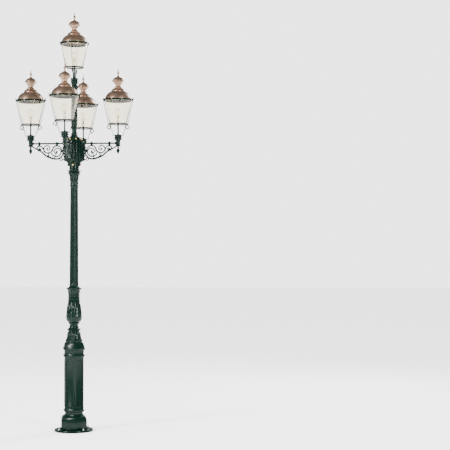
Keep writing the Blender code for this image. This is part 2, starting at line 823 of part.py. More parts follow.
def arm_socket():
    """The casting at the arm's end: it takes the tube, carries a lantern and ends in a drop."""
    low = -SOCKET_FALL
    body = turned(
        "arm_socket",
        [
            (0, SOCKET_RISE + SPIGOT_H),
            (SPIGOT_R, SOCKET_RISE + SPIGOT_H),
            (SPIGOT_R, SOCKET_RISE),
            (SOCKET_R, SOCKET_RISE),
            (SOCKET_R, low + 0.008),
            (SOCKET_R + 0.011, low),
            (DROP_R * 0.45, low - 0.026),
            (DROP_R * 0.5, low - DROP_H * 0.42),
            (DROP_R, low - DROP_H * 0.56),
            (DROP_R * 0.8, low - DROP_H * 0.78),
            (0, low - DROP_H),
        ],
        LANTERN_SIDES,
        bored=False,
    )
    boss = cylinder("boss", SOCKET_BOSS_R, -SOCKET_R - SOCKET_BOSS_L, 0, SMALL_SIDES, "X")
    depth = SOCKET_R - TUBE_SEAT / 2
    hole = cylinder("hole", TUBE_R + FIT_GAP, -SOCKET_R - 0.05, -depth, SMALL_SIDES, "X")
    cable = cylinder("cable", TUBE_BORE_R, -depth - 0.01, 0.004, 8, "X")
    riser = cylinder("riser", LAMP_TUBE_BORE_R, -0.004, SOCKET_RISE + SPIGOT_H + 0.01, 8)
    return cut(joined(body, boss), hole, cable, riser)


# Lantern, built from the foot of its cup with its rods along X and its hood's hinge at +X


def yoke():
    """One casting: ribbed cup, two straps with their loops, and the ring under the glass."""
    cup = turned(
        "yoke",
        [
            (LAMP_TUBE_R + FIT_GAP, CUP_H),
            (CUP_R, CUP_H),
            (CUP_R, CUP_H - 0.018),
            (CUP_R - 0.006, CUP_H - 0.024),
            (CUP_R + 0.003, 0.034),
            (CUP_R - 0.005, 0.024),
            (CUP_R + 0.004, 0.006),
            (CUP_R - 0.002, 0),
            (SPIGOT_R + SPIGOT_GAP, 0),
            (SPIGOT_R + SPIGOT_GAP, SPIGOT_H + 2 * SEAT_GAP),
            (LAMP_TUBE_R + FIT_GAP, SPIGOT_H + 2 * SEAT_GAP),
        ],
        LANTERN_SIDES,
    )
    ring = turned(
        "ring",
        [
            (RING_R, RING_Z + RING_T + 0.005),
            (RING_R - 0.003, RING_Z),
            (RING_BORE_R, RING_Z),
            (RING_BORE_R, RING_Z + RING_T),
            (GLASS_FOOT_R + 0.005, RING_Z + RING_T),
            (GLASS_FOOT_R + 0.005, RING_Z + RING_T + 0.005),
        ],
        LANTERN_SIDES,
    )
    strap = [
        (CUP_R - 0.010, CUP_H - 0.011),
        (STRAP_FOOT_X - 0.008, CUP_H - 0.012),
        (STRAP_FOOT_X, CUP_H - 0.005),
        (RING_BORE_R + 0.004, RING_Z + 0.004),
    ]
    pieces = [ring]
    for side in (1, -1):
        pieces.append(bar("strap", [(side * x, z) for x, z in strap], STRAP_T, STRAP_W))
        centre = (side * (RING_BORE_R + LOOP_R - 0.005), RING_Z - LOOP_R - LOOP_T / 2 + 0.003)
        loops = [circle(LOOP_R + LOOP_T / 2, 10, centre), circle(LOOP_R - LOOP_T / 2, 10, centre)]
        pieces.append(upright_plate("loop", loops, STRAP_W - 0.003))
    return joined(cup, *pieces)


def lamp_holder():
    """The upright tube, the white plate on the ring and the screw socket for the lamp."""
    return turned(
        "lamp_holder",
        [
            (LAMP_TUBE_BORE_R, HOLDER_Z + HOLDER_H),
            (HOLDER_R, HOLDER_Z + HOLDER_H),
            (HOLDER_R - 0.004, HOLDER_Z + 0.030),
            (HOLDER_R - 0.004, HOLDER_Z),
            (GLASS_FOOT_R - GLASS_T - 0.003, HOLDER_Z),
            (GLASS_FOOT_R - GLASS_T - 0.003, PLATE_Z),
            (LAMP_TUBE_R, PLATE_Z),
            (LAMP_TUBE_R, SPIGOT_H + 3 * SEAT_GAP),
            (LAMP_TUBE_BORE_R, SPIGOT_H + 3 * SEAT_GAP),
        ],
        LANTERN_SIDES,
    )


def bulb():
    neck = 0.016
    return turned(
        "bulb",
        [
            (0, BULB_Z + BULB_H),
            (BULB_R, BULB_Z + BULB_H - BULB_R, BULB_R * (1 - math.sqrt(0.5))),
            (neck, BULB_Z + 0.022, 0.012),
            (neck, BULB_Z),
            (0, BULB_Z),
        ],
        LANTERN_SIDES,
        bored=False,
    )


def glass():
    top = GLASS_Z + GLASS_H
    return turned(
        "glass",
        [
            (GLASS_TOP_R, top),
            (GLASS_FOOT_R, GLASS_Z),
            (GLASS_FOOT_R - GLASS_T, GLASS_Z),
            (GLASS_TOP_R - GLASS_T, top),
        ],
        LANTERN_SIDES,
    )


def rim():
    """The upper ring over the glass with its two rods, the hinge knuckle and the screw's lug."""
    under = RIM_TOP_Z - RIM_T
    ring = turned(
        "rim",
        [
            (RIM_R, RIM_TOP_Z),
            (RIM_R, RIM_TOP_Z - RIM_SKIRT),
            (RIM_R - 0.004, RIM_TOP_Z - RIM_SKIRT),
            (RIM_R - 0.004, under),
            (RIM_BORE_R, under),
            (RIM_BORE_R, RIM_TOP_Z),
        ],
        LANTERN_SIDES,
    )
    lug_top = HINGE_Z - HINGE_KNUCKLE_R - 0.001
    lug_low = RIM_TOP_Z - RIM_SKIRT + 0.004
    reach = HINGE_X + HINGE_KNUCKLE_R
    pieces = [
        block("hinge_lug", (RIM_R - 0.003, -LUG_W / 2, lug_low), (reach, LUG_W / 2, lug_top)),
        cylinder("knuckle", HINGE_KNUCKLE_R, -KNUCKLE_W / 2, KNUCKLE_W / 2, 8, "Y", (HINGE_X, 0, HINGE_Z)),
        block("knuckle_foot", (HINGE_X - 0.0045, -KNUCKLE_W / 2 + 0.0005, lug_top - 0.004),
              (HINGE_X + 0.0045, KNUCKLE_W / 2 - 0.0005, HINGE_Z)),
        block("screw_lug", (-reach + 0.001, -SCREW_LUG_W / 2, lug_low),
              (-RIM_R + 0.003, SCREW_LUG_W / 2, lug_top)),
    ]
    foot = Vector((RING_R + ROD_R + 0.0005, RING_Z + RING_T / 2))
    head = Vector((RIM_R + 0.004, lug_low + 0.003))
    for side in (1, -1):
        line = [(side * foot.x, foot.y), (side * head.x, head.y)]
        pieces.append(bar("rod", line, 2 * ROD_R, 2 * ROD_R + 0.001))
    holes = [
        cylinder("pin_hole", HINGE_PIN_R + FIT_GAP, -0.02, 0.02, 8, "Y", (HINGE_X, 0, HINGE_Z)),
        cylinder("screw_hole", SCREW_HOLE_R, lug_low - 0.01, lug_top + 0.01, 8, at=(-SCREW_X, 0, 0)),
    ]
    return cut(joined(ring, *pieces), *holes)


def hood_outline():
    """The copper hood's profile from the finial's tip to the brim and back up inside."""
    z = HOOD_Z
    dome = z + DOME_H
    neck = dome + 0.070
    crown = dome + 0.1375
    knob = crown + 0.1065
    return [
        (0, knob + 0.063),
        (0.0075, knob + 0.050),
        (FINIAL_KNOB_R, knob),
        (0.011, knob - 0.026),
        (CROWN_R, crown, 0.012),
        (CROWN_R - 0.024, crown - 0.018),
        (HOOD_NECK_R, neck + 0.022),
        (HOOD_NECK_R, neck),
        (NECK_RING_R, neck - 0.019),
        (SHOULDER_R, dome + 0.002, 0.007),
        (DOME_R, z + HOOD_T + 0.003, 0.010),
        (HOOD_R, z + HOOD_T),
        (HOOD_R, z),
        (DOME_R - HOOD_T, z),
        (SHOULDER_R + 0.005, dome - HOOD_T, -0.010),
        (HOOD_NECK_R - HOOD_T, neck - 0.016),
        (HOOD_NECK_R - HOOD_T, neck + 0.020),
        (CROWN_R * 0.7, crown + 0.004),
        (0, crown + 0.050),
    ]


def hood():
    """The hood about its hinge pin, which is cast with its two ears."""
    shell = turned("hood", hood_outline(), LANTERN_SIDES, bored=False)
    low, high = HOOD_Z + 0.0002, HOOD_Z + HOOD_T + 0.003
    ear_foot = KNUCKLE_W / 2 + SEAT_GAP
    pin_at = (HINGE_X, 0, HINGE_Z)
    pieces = [cylinder("pin", HINGE_PIN_R, -ear_foot - 0.001, ear_foot + 0.001, 8, "Y", pin_at)]
    for side in (1, -1):
        near, far = sorted((side * ear_foot, side * (ear_foot + EAR_W)))
        pieces.append(cylinder("ear", HINGE_KNUCKLE_R - 0.0005, near, far, 8, "Y", pin_at))
        pieces.append(block("ear_foot", (HOOD_R - 0.010, near + 0.0005, low), (HINGE_X, far - 0.0005, high)))
    pieces.append(block("tab", (-SCREW_X - SCREW_HEAD_R - 0.002, -TAB_W / 2, low),
                        (-HOOD_R + 0.008, TAB_W / 2, HOOD_Z + TAB_T)))
    hole = cylinder("hole", SCREW_HOLE_R, HOOD_Z - 0.02, HOOD_Z + 0.02, 8, at=(-SCREW_X, 0, 0))
    whole = cut(joined(shell, *pieces), hole)
    return moved(whole, Matrix.Translation((-HINGE_X, 0, -HINGE_Z)))


def hood_screw():
    """The captive thumb screw that holds the hood down, about its own axis."""
    seat = HOOD_Z + TAB_T + SEAT_GAP - HINGE_Z
    return turned(
        "hood_screw",
        [
            (0, seat + SCREW_HEAD_H),
            (SCREW_HEAD_R - 0.002, seat + SCREW_HEAD_H),
            (SCREW_HEAD_R, seat + SCREW_HEAD_H - 0.003),
            (SCREW_HEAD_R, seat),
            (SCREW_R, seat),
            (SCREW_R, seat - SCREW_DEPTH - HOOD_T),
            (0, seat - SCREW_DEPTH - HOOD_T),
        ],
        8,
        bored=False,
    )


# Assembly


def build_post(green, plastic, brass):
    place(foot_flange(), "foot_flange", green)
    base = place(pedestal(), "pedestal", green, at=(0, 0, PEDESTAL_Z), turn=PEDESTAL_TURN)
    flat = BODY_R * math.cos(math.pi / PEDESTAL_SIDES)
    hinge = (DOOR_W / 2 - DOOR_GAP, flat, 0)
    door = place(service_door(), "service_door", green, base, hinge)
    place(door_lock(), "door_lock", brass, door, lock_place())
    place(terminal_box(), "terminal_box", plastic, base)
    for template, name, height in (
        (shoulder(), "shoulder", SHOULDER_Z),
        (baluster(), "baluster", BALUSTER_Z),
        (shaft(), "shaft", SHAFT_Z),
        (capital(), "capital", CAPITAL_Z),
        (hub(), "hub", HUB_Z),
        (stem(), "stem", STEM_Z),
    ):
        place(template, name, green, at=(0, 0, height))


def build_arms(green):
    casting, tube, socket = bracket(), arm_tube(), arm_socket()
    for side, degrees in ARMS.items():
        arm = group("arm_" + side, (0, 0, ARM_Z), math.radians(degrees))
        place(casting, "bracket_" + side, green, arm)
        place(tube, "arm_tube_" + side, green, arm)
        place(socket, "arm_socket_" + side, green, arm, (ARM_REACH, 0, 0))


def build_lanterns(green, copper, clear, opal, white):
    fixed = (
        ("yoke", yoke(), green),
        ("lamp_holder", lamp_holder(), white),
        ("bulb", bulb(), opal),
        ("glass", glass(), clear),
        ("rim", rim(), green),
    )
    cover, screw = hood(), hood_screw()
    for side, degrees in LANTERN_TURNS.items():
        if side == "top":
            seat = (0, 0, TOP_SEAT_Z)
        else:
            turn = math.radians(ARMS[side])
            seat = (ARM_REACH * math.cos(turn), ARM_REACH * math.sin(turn), ARM_SEAT_Z)
        lantern = group("lantern_" + side, seat, math.radians(degrees))
        for name, template, finish in fixed:
            place(template, f"{name}_{side}", finish, lantern)
        lid = place(cover, "hood_" + side, copper, lantern, (HINGE_X, 0, HINGE_Z))
        place(screw, "hood_screw_" + side, green, lid, (-HINGE_X - SCREW_X, 0, 0))


def main():
    for obj in list(bpy.data.objects):
        bpy.data.objects.remove(obj)
    for name in ("street_lamp", "workshop"):
        collection = bpy.data.collections.new(name)
        bpy.context.scene.collection.children.link(collection)
    green = material("green_paint", (0.004, 0.060, 0.045), 0.35)
    copper = material("brushed_copper", (0.52, 0.31, 0.21), 0.40, 1.0)
    clear = material("lantern_glass", (0.95, 0.94, 0.88), 0.10, alpha=0.35)
    opal = material("opal_lamp", (0.92, 0.91, 0.86), 0.30)
    white = material("white_enamel", (0.85, 0.85, 0.82), 0.40)
    plastic = material("grey_plastic", (0.45, 0.46, 0.47), 0.55)
    brass = material("brass", (0.60, 0.47, 0.22), 0.35, 1.0)
    build_post(green, plastic, brass)
    build_arms(green)
    build_lanterns(green, copper, clear, opal, white)
    for template in list(bpy.data.collections["workshop"].objects):
        bpy.data.objects.remove(template)


main()
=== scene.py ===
import json
import math

import bpy
from bpy.props import FloatProperty, IntProperty, PointerProperty, StringProperty
from mathutils import Euler, Matrix, Vector


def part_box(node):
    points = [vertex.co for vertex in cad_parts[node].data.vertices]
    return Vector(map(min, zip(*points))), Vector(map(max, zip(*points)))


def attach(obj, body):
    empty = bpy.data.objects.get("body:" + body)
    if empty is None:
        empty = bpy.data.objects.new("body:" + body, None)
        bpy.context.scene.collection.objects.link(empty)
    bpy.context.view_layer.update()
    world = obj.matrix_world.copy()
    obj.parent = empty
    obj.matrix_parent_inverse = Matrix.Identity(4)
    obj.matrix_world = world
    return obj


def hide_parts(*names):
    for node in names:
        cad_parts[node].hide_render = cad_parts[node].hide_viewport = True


bl_info = {
    "name": "Street lamp with five lanterns",
    "version": (1, 0, 0),
    "blender": (4, 5, 0),
    "location": "3D View > Sidebar > Street lamp",
    "description": "Models a cast street lamp with copper-hooded lanterns around its packed frame",
    "category": "Object",
}

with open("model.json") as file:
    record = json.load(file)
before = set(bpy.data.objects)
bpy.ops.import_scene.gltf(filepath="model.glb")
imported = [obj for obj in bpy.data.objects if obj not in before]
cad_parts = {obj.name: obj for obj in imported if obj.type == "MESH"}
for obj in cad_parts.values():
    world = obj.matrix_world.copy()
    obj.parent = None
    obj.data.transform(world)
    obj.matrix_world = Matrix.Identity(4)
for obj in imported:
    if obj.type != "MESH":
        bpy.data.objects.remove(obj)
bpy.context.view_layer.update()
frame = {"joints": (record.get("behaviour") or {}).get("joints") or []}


# Places read from the frame


def height(node):
    """The lowest and highest z of a frame node."""
    low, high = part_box(node)
    return low.z, high.z


def centre(node):
    """The middle of a frame node's box."""
    low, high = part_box(node)
    return (low + high) / 2


def half_width(node):
    """Half of a frame node's width along X."""
    low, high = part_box(node)
    return (high - low).x / 2


JOINTS = {joint["name"]: joint for joint in frame["joints"]}
LANTERNS = ("right", "left", "front", "back", "top")
ARMS = ("right", "left", "front", "back")

FLANGE_R = half_width("foot_flange")
FLANGE_T = height("foot_flange")[1]
PEDESTAL_LOW, PEDESTAL_HIGH = height("pedestal")
SHOULDER_LOW, SHOULDER_HIGH = height("shoulder")
BALUSTER_LOW, BALUSTER_HIGH = height("baluster")
SHAFT_LOW, SHAFT_HIGH = height("shaft")
CAPITAL_LOW, CAPITAL_HIGH = height("capital")
HUB_LOW, HUB_HIGH = height("hub")
STEM_LOW, STEM_HIGH = height("stem")
ARM_Z = centre("arm_tube_right").z
ARM_START, ARM_END = (corner.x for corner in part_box("arm_tube_right"))
ARM_REACH = centre("glass_right").x

# A lantern's own heights, counted from the foot of its cup
CUP_FOOT = height("yoke_top")[0]
GLASS_LOW, GLASS_HIGH = (z - CUP_FOOT for z in height("glass_top"))
HOOD_LOW, HOOD_HIGH = (z - CUP_FOOT for z in height("hood_top"))
GLASS_TOP_R = half_width("glass_top")
HOOD_R = half_width("hood_top")
TUBE_TOP = height("lamp_holder_top")[1] - CUP_FOOT
BULB_LOW, BULB_HIGH = (z - CUP_FOOT for z in height("bulb_top"))
BULB_R = half_width("bulb_top")
HINGE_OUT = abs(JOINTS["hood_hinge_right"]["pos_m"][0] - ARM_REACH)
HINGE_UP = JOINTS["hood_hinge_right"]["pos_m"][2] - height("yoke_right")[0]
SCREW_OUT = abs(JOINTS["hood_screw_turn_right"]["pos_m"][0] - ARM_REACH)

DOOR_HINGE = Vector(JOINTS["door_hinge"]["pos_m"])
LOCK_AXIS = Vector(JOINTS["door_lock_turn"]["pos_m"])
PEDESTAL_SIDES = 6
PEDESTAL_TURN = math.radians(-14)


def lantern_place(side):
    """The matrix from a lantern's own frame, foot of the cup and hinge at +X, to where it stands."""
    axis = centre("glass_" + side)
    hinge = Vector(JOINTS["hood_hinge_" + side]["pos_m"])
    turn = math.atan2(hinge.y - axis.y, hinge.x - axis.x)
    seat = Vector((axis.x, axis.y, height("yoke_" + side)[0]))
    return Matrix.Translation(seat) @ Matrix.Rotation(turn, 4, "Z")


def arm_place(side):
    """The matrix from an arm's own frame, along +X with its tube at z = 0, to where it points."""
    end = centre("glass_" + side)
    return Matrix.Translation((0, 0, ARM_Z)) @ Matrix.Rotation(math.atan2(end.y, end.x), 4, "Z")


# Sizes and colours that a user would change


def length(name, description, default):
    return FloatProperty(name=name, description=description, default=default, unit="LENGTH", precision=4)


def colour(name, description, default):
    return StringProperty(name=name, description=description + ", as sRGB hex", default=default)


class LampSizes(bpy.types.PropertyGroup):
    """Sizes of the fine work that the frame leaves open."""

    fineness: IntProperty(
        name="Fineness", description="Steps round a turned piece", default=96, min=24, max=192
    )
    flutes: IntProperty(name="Flutes", description="Flutes round the shaft", default=16, min=8, max=32)
    flute_depth: length("Flute depth", "How deep a flute is cut", 0.0045)
    panel_depth: length("Panel depth", "How far a pedestal panel is sunk", 0.006)
    bead: length("Panel bead", "Radius of the moulding round a pedestal panel", 0.0035)
    edge: length("Cast edge", "Rounding of a cast edge", 0.0016)
    relief: length("Leaf relief", "How far a cast leaf stands out", 0.008)
    scroll: length("Scroll bar", "Radius of the scrollwork's bars", 0.0092)
    rib: length("Bracket rib", "Radius of the rib under the scrolls", 0.0108)
    rod: length("Lantern rod", "Radius of the two rods beside the glass", 0.0036)
    copper: length("Copper sheet", "Thickness of the hood's spun copper", 0.0015)
    glass: length("Glass", "Thickness of the lantern glass", 0.003)
    nut: length("Dome nut", "Width across flats of a dome nut", 0.019)


class LampColours(bpy.types.PropertyGroup):
    """Colours of the finishes."""

    green: colour("Enamel", "Gloss enamel on the castings", "#031911")
    green_deep: colour("Enamel, deep", "Where the enamel lies thick", "#010D09")
    copper: colour("Copper", "Brushed copper of the hoods", "#B39781")
    copper_dark: colour("Copper, dark", "Brush lines in the copper", "#866C5A")
    brass: colour("Brass", "Turned brass nuts and screws", "#D9BE77")
    glass: colour("Glass", "Faint cream of the lantern glass", "#FFFAEA")
    porcelain: colour("Porcelain", "Lamp sockets and plates", "#F2EEE4")
    zinc: colour("Zinc", "Zinc-plated anchor bolts", "#B4B8BA")
    plastic: colour("Plastic", "Terminal box", "#9EA2A3")
    floor: colour("Floor", "Plain pale floor", "#F7F7F6")


# Tools for modelling


def only(*objects):
    """Leaves just these selected, the first of them active."""
    bpy.ops.object.select_all(action="DESELECT")
    for obj in objects:
        obj.select_set(True)
    bpy.context.view_layer.objects.active = objects[0]
    return objects[0]


def added(name, operator, **settings):
    """What a primitive operator adds, with nothing else selected."""
    bpy.ops.object.select_all(action="DESELECT")
    operator(**settings)
    obj = bpy.context.object
    obj.name = name
    return obj


def edited(obj, *steps):
    """Runs edit-mode operators one after another, each a pair of operator and settings, on all of obj."""
    only(obj)
    bpy.ops.object.mode_set(mode="EDIT")
    bpy.ops.mesh.select_all(action="SELECT")
    for operator, settings in steps:
        operator(**settings)
    bpy.ops.object.mode_set(mode="OBJECT")
    return obj


def settled(obj):
    """Its place and size taken into the mesh."""
    only(obj)
    bpy.ops.object.transform_apply(location=True, rotation=True, scale=True)
    return obj


def modified(obj, kind, **settings):
    """A modifier added with its settings and applied."""
    only(obj)
    bpy.ops.object.modifier_add(type=kind)
    modifier = obj.modifiers[-1]
    for name, value in settings.items():
        setattr(modifier, name, value)
    bpy.ops.object.modifier_apply(modifier=modifier.name)
    return obj


def bevelled(obj, width, segments=2, angle=30):
    return modified(
        obj, "BEVEL", width=width, segments=segments, limit_method="ANGLE", angle_limit=math.radians(angle)
    )


def joined(name, *objects):
    only(*objects)
    if len(objects) > 1:
        bpy.ops.object.join()
    bpy.context.object.name = name
    return bpy.context.object


def cut(obj, cutter):
    """obj with the cutter's shape taken out, and the cutter removed."""
    modified(obj, "BOOLEAN", operation="DIFFERENCE", object=cutter)
    bpy.data.objects.remove(cutter)
    return obj


def copied(obj, name, matrix):
    """A copy with its own mesh, moved by the matrix and settled there."""
    only(obj)
    bpy.ops.object.duplicate()
    made = bpy.context.object
    made.name = name
    made.matrix_world = matrix @ made.matrix_world
    return settled(made)


def around(obj, name, count, start=0.0):
    """count copies of obj round the Z axis, joined; obj itself is the first."""
    copies = [obj]
    for i in range(1, count):
        copies.append(copied(obj, name, Matrix.Rotation(math.tau * i / count, 4, "Z")))
    whole = joined(name, *copies)
    whole.rotation_euler.z = start
    return settled(whole)


def arc(start, end, sag, steps):
    """The points after start of an arc to end that stands sag to the left of the straight way."""
    start, end = Vector(start), Vector(end)
    way = end - start
    half_turn = 2 * math.atan(2 * sag / way.length)
    to_centre = Vector((way.y, -way.x)).normalized() * (way.length / 2 / math.tan(half_turn))
    middle = (start + end) / 2 + to_centre
    return [
        tuple(middle + Matrix.Rotation(-2 * half_turn * step / steps, 2) @ (start - middle))
        for step in range(1, steps + 1)
    ]


def outline(moves, steps=6):
    """The points of a profile: a move is (r, z), or (r, z, sag) for an arc to there that swells by sag."""
    points = []
    for r, z, *sag in moves:
        points += arc(points[-1], (r, z), sag[0], steps) if sag else [(r, z)]
    return points


def smooth_line(points, steps=6):
    """A smooth line through the points."""
    knots = [Vector(p) for p in points]
    knots = [2 * knots[0] - knots[1], *knots, 2 * knots[-1] - knots[-2]]
    line = [knots[1]]
    for a, b, c, d in zip(knots, knots[1:], knots[2:], knots[3:]):
        for step in range(1, steps + 1):
            t = step / steps
            line.append(
                b + (c - a) * t / 2 + (2 * a - 5 * b + 4 * c - d) * t * t / 2
                + (3 * b - a - 3 * c + d) * t**3 / 2
            )
    return line


def chain(name, points, closed=False):
    """A chain of edges through the points, extruded from one vertex."""
    points = [Vector(p) for p in points]
    obj = added(name, bpy.ops.mesh.primitive_plane_add, size=0.01)
    steps = [
        (bpy.ops.mesh.merge, {"type": "CENTER"}), (bpy.ops.transform.translate, {"value": points[0]}),
    ]
    ways = list(zip(points, points[1:] + points[:1] * closed))
    for a, b in ways:
        steps.append((bpy.ops.mesh.extrude_region_move, {"TRANSFORM_OT_translate": {"value": b - a}}))
    if closed:
        steps += [
            (bpy.ops.mesh.select_all, {"action": "SELECT"}),
            (bpy.ops.mesh.remove_doubles, {"threshold": 1e-6}),
        ]
    return edited(obj, *steps)


def turned(name, moves, sides, closed=True, arcs=6):
    """A turned piece: a closed profile is a ring, and an open one starts and ends on the axis."""
    points = [(r, 0, z) for r, z in outline(moves, arcs)]
    obj = chain(name, points, closed)
    return edited(
        obj,
        (bpy.ops.mesh.spin, {"steps": sides, "angle": math.tau, "center": (0, 0, 0), "axis": (0, 0, 1)}),
        (bpy.ops.mesh.select_all, {"action": "SELECT"}),
        (bpy.ops.mesh.remove_doubles, {"threshold": 1e-5}),
        (bpy.ops.mesh.normals_make_consistent, {"inside": False}),
    )


def wire(name, points, radius, radii=None, closed=False, sides=4):
    """A round bar along the points, in the XZ plane or free in space, closed at its ends."""
    obj = chain(name, points, closed)
    only(obj)
    bpy.ops.object.convert(target="CURVE")
    curve = bpy.context.object.data
    curve.bevel_depth = radius
    curve.bevel_resolution = sides
    curve.use_fill_caps = True
    if radii:
        spots = curve.splines[0].points
        for i, spot in enumerate(spots):
            share = i / (len(spots) - 1) * (len(radii) - 1)
            low = min(int(share), len(radii) - 2)
            spot.radius = radii[low] + (radii[low + 1] - radii[low]) * (share - low)
    bpy.ops.object.convert(target="MESH")
    obj = bpy.context.object
    obj.name = name
    return edited(
        obj,
        (bpy.ops.mesh.remove_doubles, {"threshold": 1e-6}),
        (bpy.ops.mesh.normals_make_consistent, {"inside": False}),
    )


def ball(name, radius, place, stretch=1.0):
    obj = added(name, bpy.ops.mesh.primitive_uv_sphere_add, segments=20, ring_count=12, radius=radius)
    obj.scale.z = stretch
    obj.location = place
    return settled(obj)


def brick(name, low, high, edge):
    """A cast block between two corners with rounded edges."""
    low, high = Vector(low), Vector(high)
    obj = added(name, bpy.ops.mesh.primitive_cube_add, size=1)
    obj.scale = high - low
    obj.location = (low + high) / 2
    return bevelled(settled(obj), edge)


def barrel(name, radius, low, high, edge, sides=32, axis="Z", at=(0, 0, 0)):
    """A short round bar from low to high along an axis through the point at, its ends rounded."""
    turns = {"X": (0, math.pi / 2, 0), "Y": (-math.pi / 2, 0, 0), "Z": (0, 0, 0)}
    obj = added(name, bpy.ops.mesh.primitive_cylinder_add, vertices=sides, radius=radius, depth=high - low)
    turn = Euler(turns[axis]).to_matrix().to_4x4()
    obj.matrix_world = Matrix.Translation(at) @ turn @ Matrix.Translation((0, 0, (low + high) / 2))
    return bevelled(settled(obj), edge, angle=50)


def radius_at(profile, z):
    """How far out a profile (r, z) stands at a height, its points taken in order of height."""
    rising = sorted((p[1], p[0]) for p in profile)
    if z <= rising[0][0]:
        return rising[0][1]
    for (z0, r0), (z1, r1) in zip(rising, rising[1:]):
        if z0 <= z <= z1:
            return r0 + (r1 - r0) * (z - z0) / max(z1 - z0, 1e-9)
    return rising[-1][1]


def leaf(name, half_width, relief, lobes, seat, curl=0.0, across=8, along=20):
    """A cast leaf with a midrib and lobed edges; seat(along, sideways, out) says where its points go."""
    obj = added(name, bpy.ops.mesh.primitive_grid_add, x_subdivisions=across, y_subdivisions=along, size=2)
    for vertex in obj.data.vertices:
        side, t = vertex.co.x, (vertex.co.y + 1) / 2
        notch = abs(math.sin(math.pi * lobes * t)) ** 0.6
        body = (0.45 + 0.55 * math.sin(math.pi * t**0.8)) * (1 - t**5) + 0.04
        width = half_width * body * (0.7 + 0.3 * notch)
        vein = math.cos(math.tau * lobes * (t - 0.12 * abs(side)))
        out = relief * (0.62 * (1 - side * side) + 0.38 * math.exp(-((side / 0.16) ** 2)))
        out += relief * 0.2 * vein * 4 * abs(side) * (1 - abs(side))
        out = (out * min(1, 5 * (1 - t) + 0.25) - 0.0012) + curl * t**4
        vertex.co = seat(t, side * width, out)
    edited(obj, (bpy.ops.mesh.normals_make_consistent, {"inside": False}))
    return obj


def leaf_row(name, profile, foot, tip, count, half_width, relief, lobes, start=0.0, curl=0.0):
    """Leaves round a turned body, from height foot to height tip."""

    def seat(along, sideways, out):
        z = foot + (tip - foot) * along
        r = radius_at(profile, z)
        turn = sideways / max(r, 0.01)
        return ((r + out) * math.cos(turn), (r + out) * math.sin(turn), z)

    one = leaf(name, half_width, relief, lobes, seat, curl)
    modified(one, "SOLIDIFY", thickness=0.003, offset=-1.0)
    edited(one, (bpy.ops.mesh.normals_make_consistent, {"inside": False}))
    return around(one, name, count, start)


def finished(obj, body, material, slot, *nodes, angle=35):
    """A piece in its place: smooth, painted, riding on its body and standing for its frame nodes."""
    only(obj)
    bpy.ops.object.shade_smooth_by_angle(angle=math.radians(angle))
    obj.data.name = obj.name
    obj.data.materials.clear()
    obj.data.materials.append(material)
    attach(obj, body)
    if nodes:
        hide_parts(*nodes)
    return obj


def cast(node, *parts, angle=35):
    """The parts of one of the post's castings joined, enamelled and put in place of its frame node."""
    finished(joined("visual_" + node, *parts), "post", enamel(), "green_paint", node, angle=angle)


def for_each_lantern(pattern, name, material, slot, body="post", node="", angle=35):
    """The pattern's copies in the five lanterns; material is one, or a function of the side."""
    for side in LANTERNS:
        made = copied(pattern, f"visual_{name}_{side}", lantern_place(side))
        paint = material(side) if callable(material) else material
        rides = body if body == "post" else f"{body}_{side}"
        finished(made, rides, paint, slot, *[f"{node}_{side}"] * bool(node), angle=angle)
    bpy.data.objects.remove(pattern)


def for_each_arm(pattern, name, material, slot, node="", angle=35):
    """The pattern's copies on the four arms."""
    for side in ARMS:
        made = copied(pattern, f"visual_{name}_{side}", arm_place(side))
        finished(made, "post", material, slot, *[f"{node}_{side}"] * bool(node), angle=angle)
    bpy.data.objects.remove(pattern)


# Materials


def linear(hexcode):
    """An sRGB hex colour as linear red, green, blue and alpha."""
    parts = [int(hexcode[i : i + 2], 16) / 255 for i in (1, 3, 5)]
    return (*[p / 12.92 if p <= 0.04045 else ((p + 0.055) / 1.055) ** 2.4 for p in parts], 1.0)


def node(tree, kind, inputs=(), **settings):
    """A node with its settings; an input is given a value, or a socket that feeds it."""
    made = tree.nodes.new("ShaderNode" + kind)
    for name, value in settings.items():
        setattr(made, name, value)
    for name, value in dict(inputs).items():
        if isinstance(value, bpy.types.NodeSocket):
            tree.links.new(value, made.inputs[name])
        else:
            made.inputs[name].default_value = value
    return made


def blank(name):
    """A new material's name, tree and shader."""
    material = bpy.data.materials.new(name)
    material.use_nodes = True
    return material, material.node_tree, material.node_tree.nodes["Principled BSDF"]


def set_up(tree, shader, **values):
    """Constants on the shader's own sockets, or links to them, named with underscores for spaces."""
    for name, value in values.items():
        socket = shader.inputs[name.replace("_", " ")]
        if isinstance(value, bpy.types.NodeSocket):
            tree.links.new(value, socket)
        else:
            socket.default_value = value


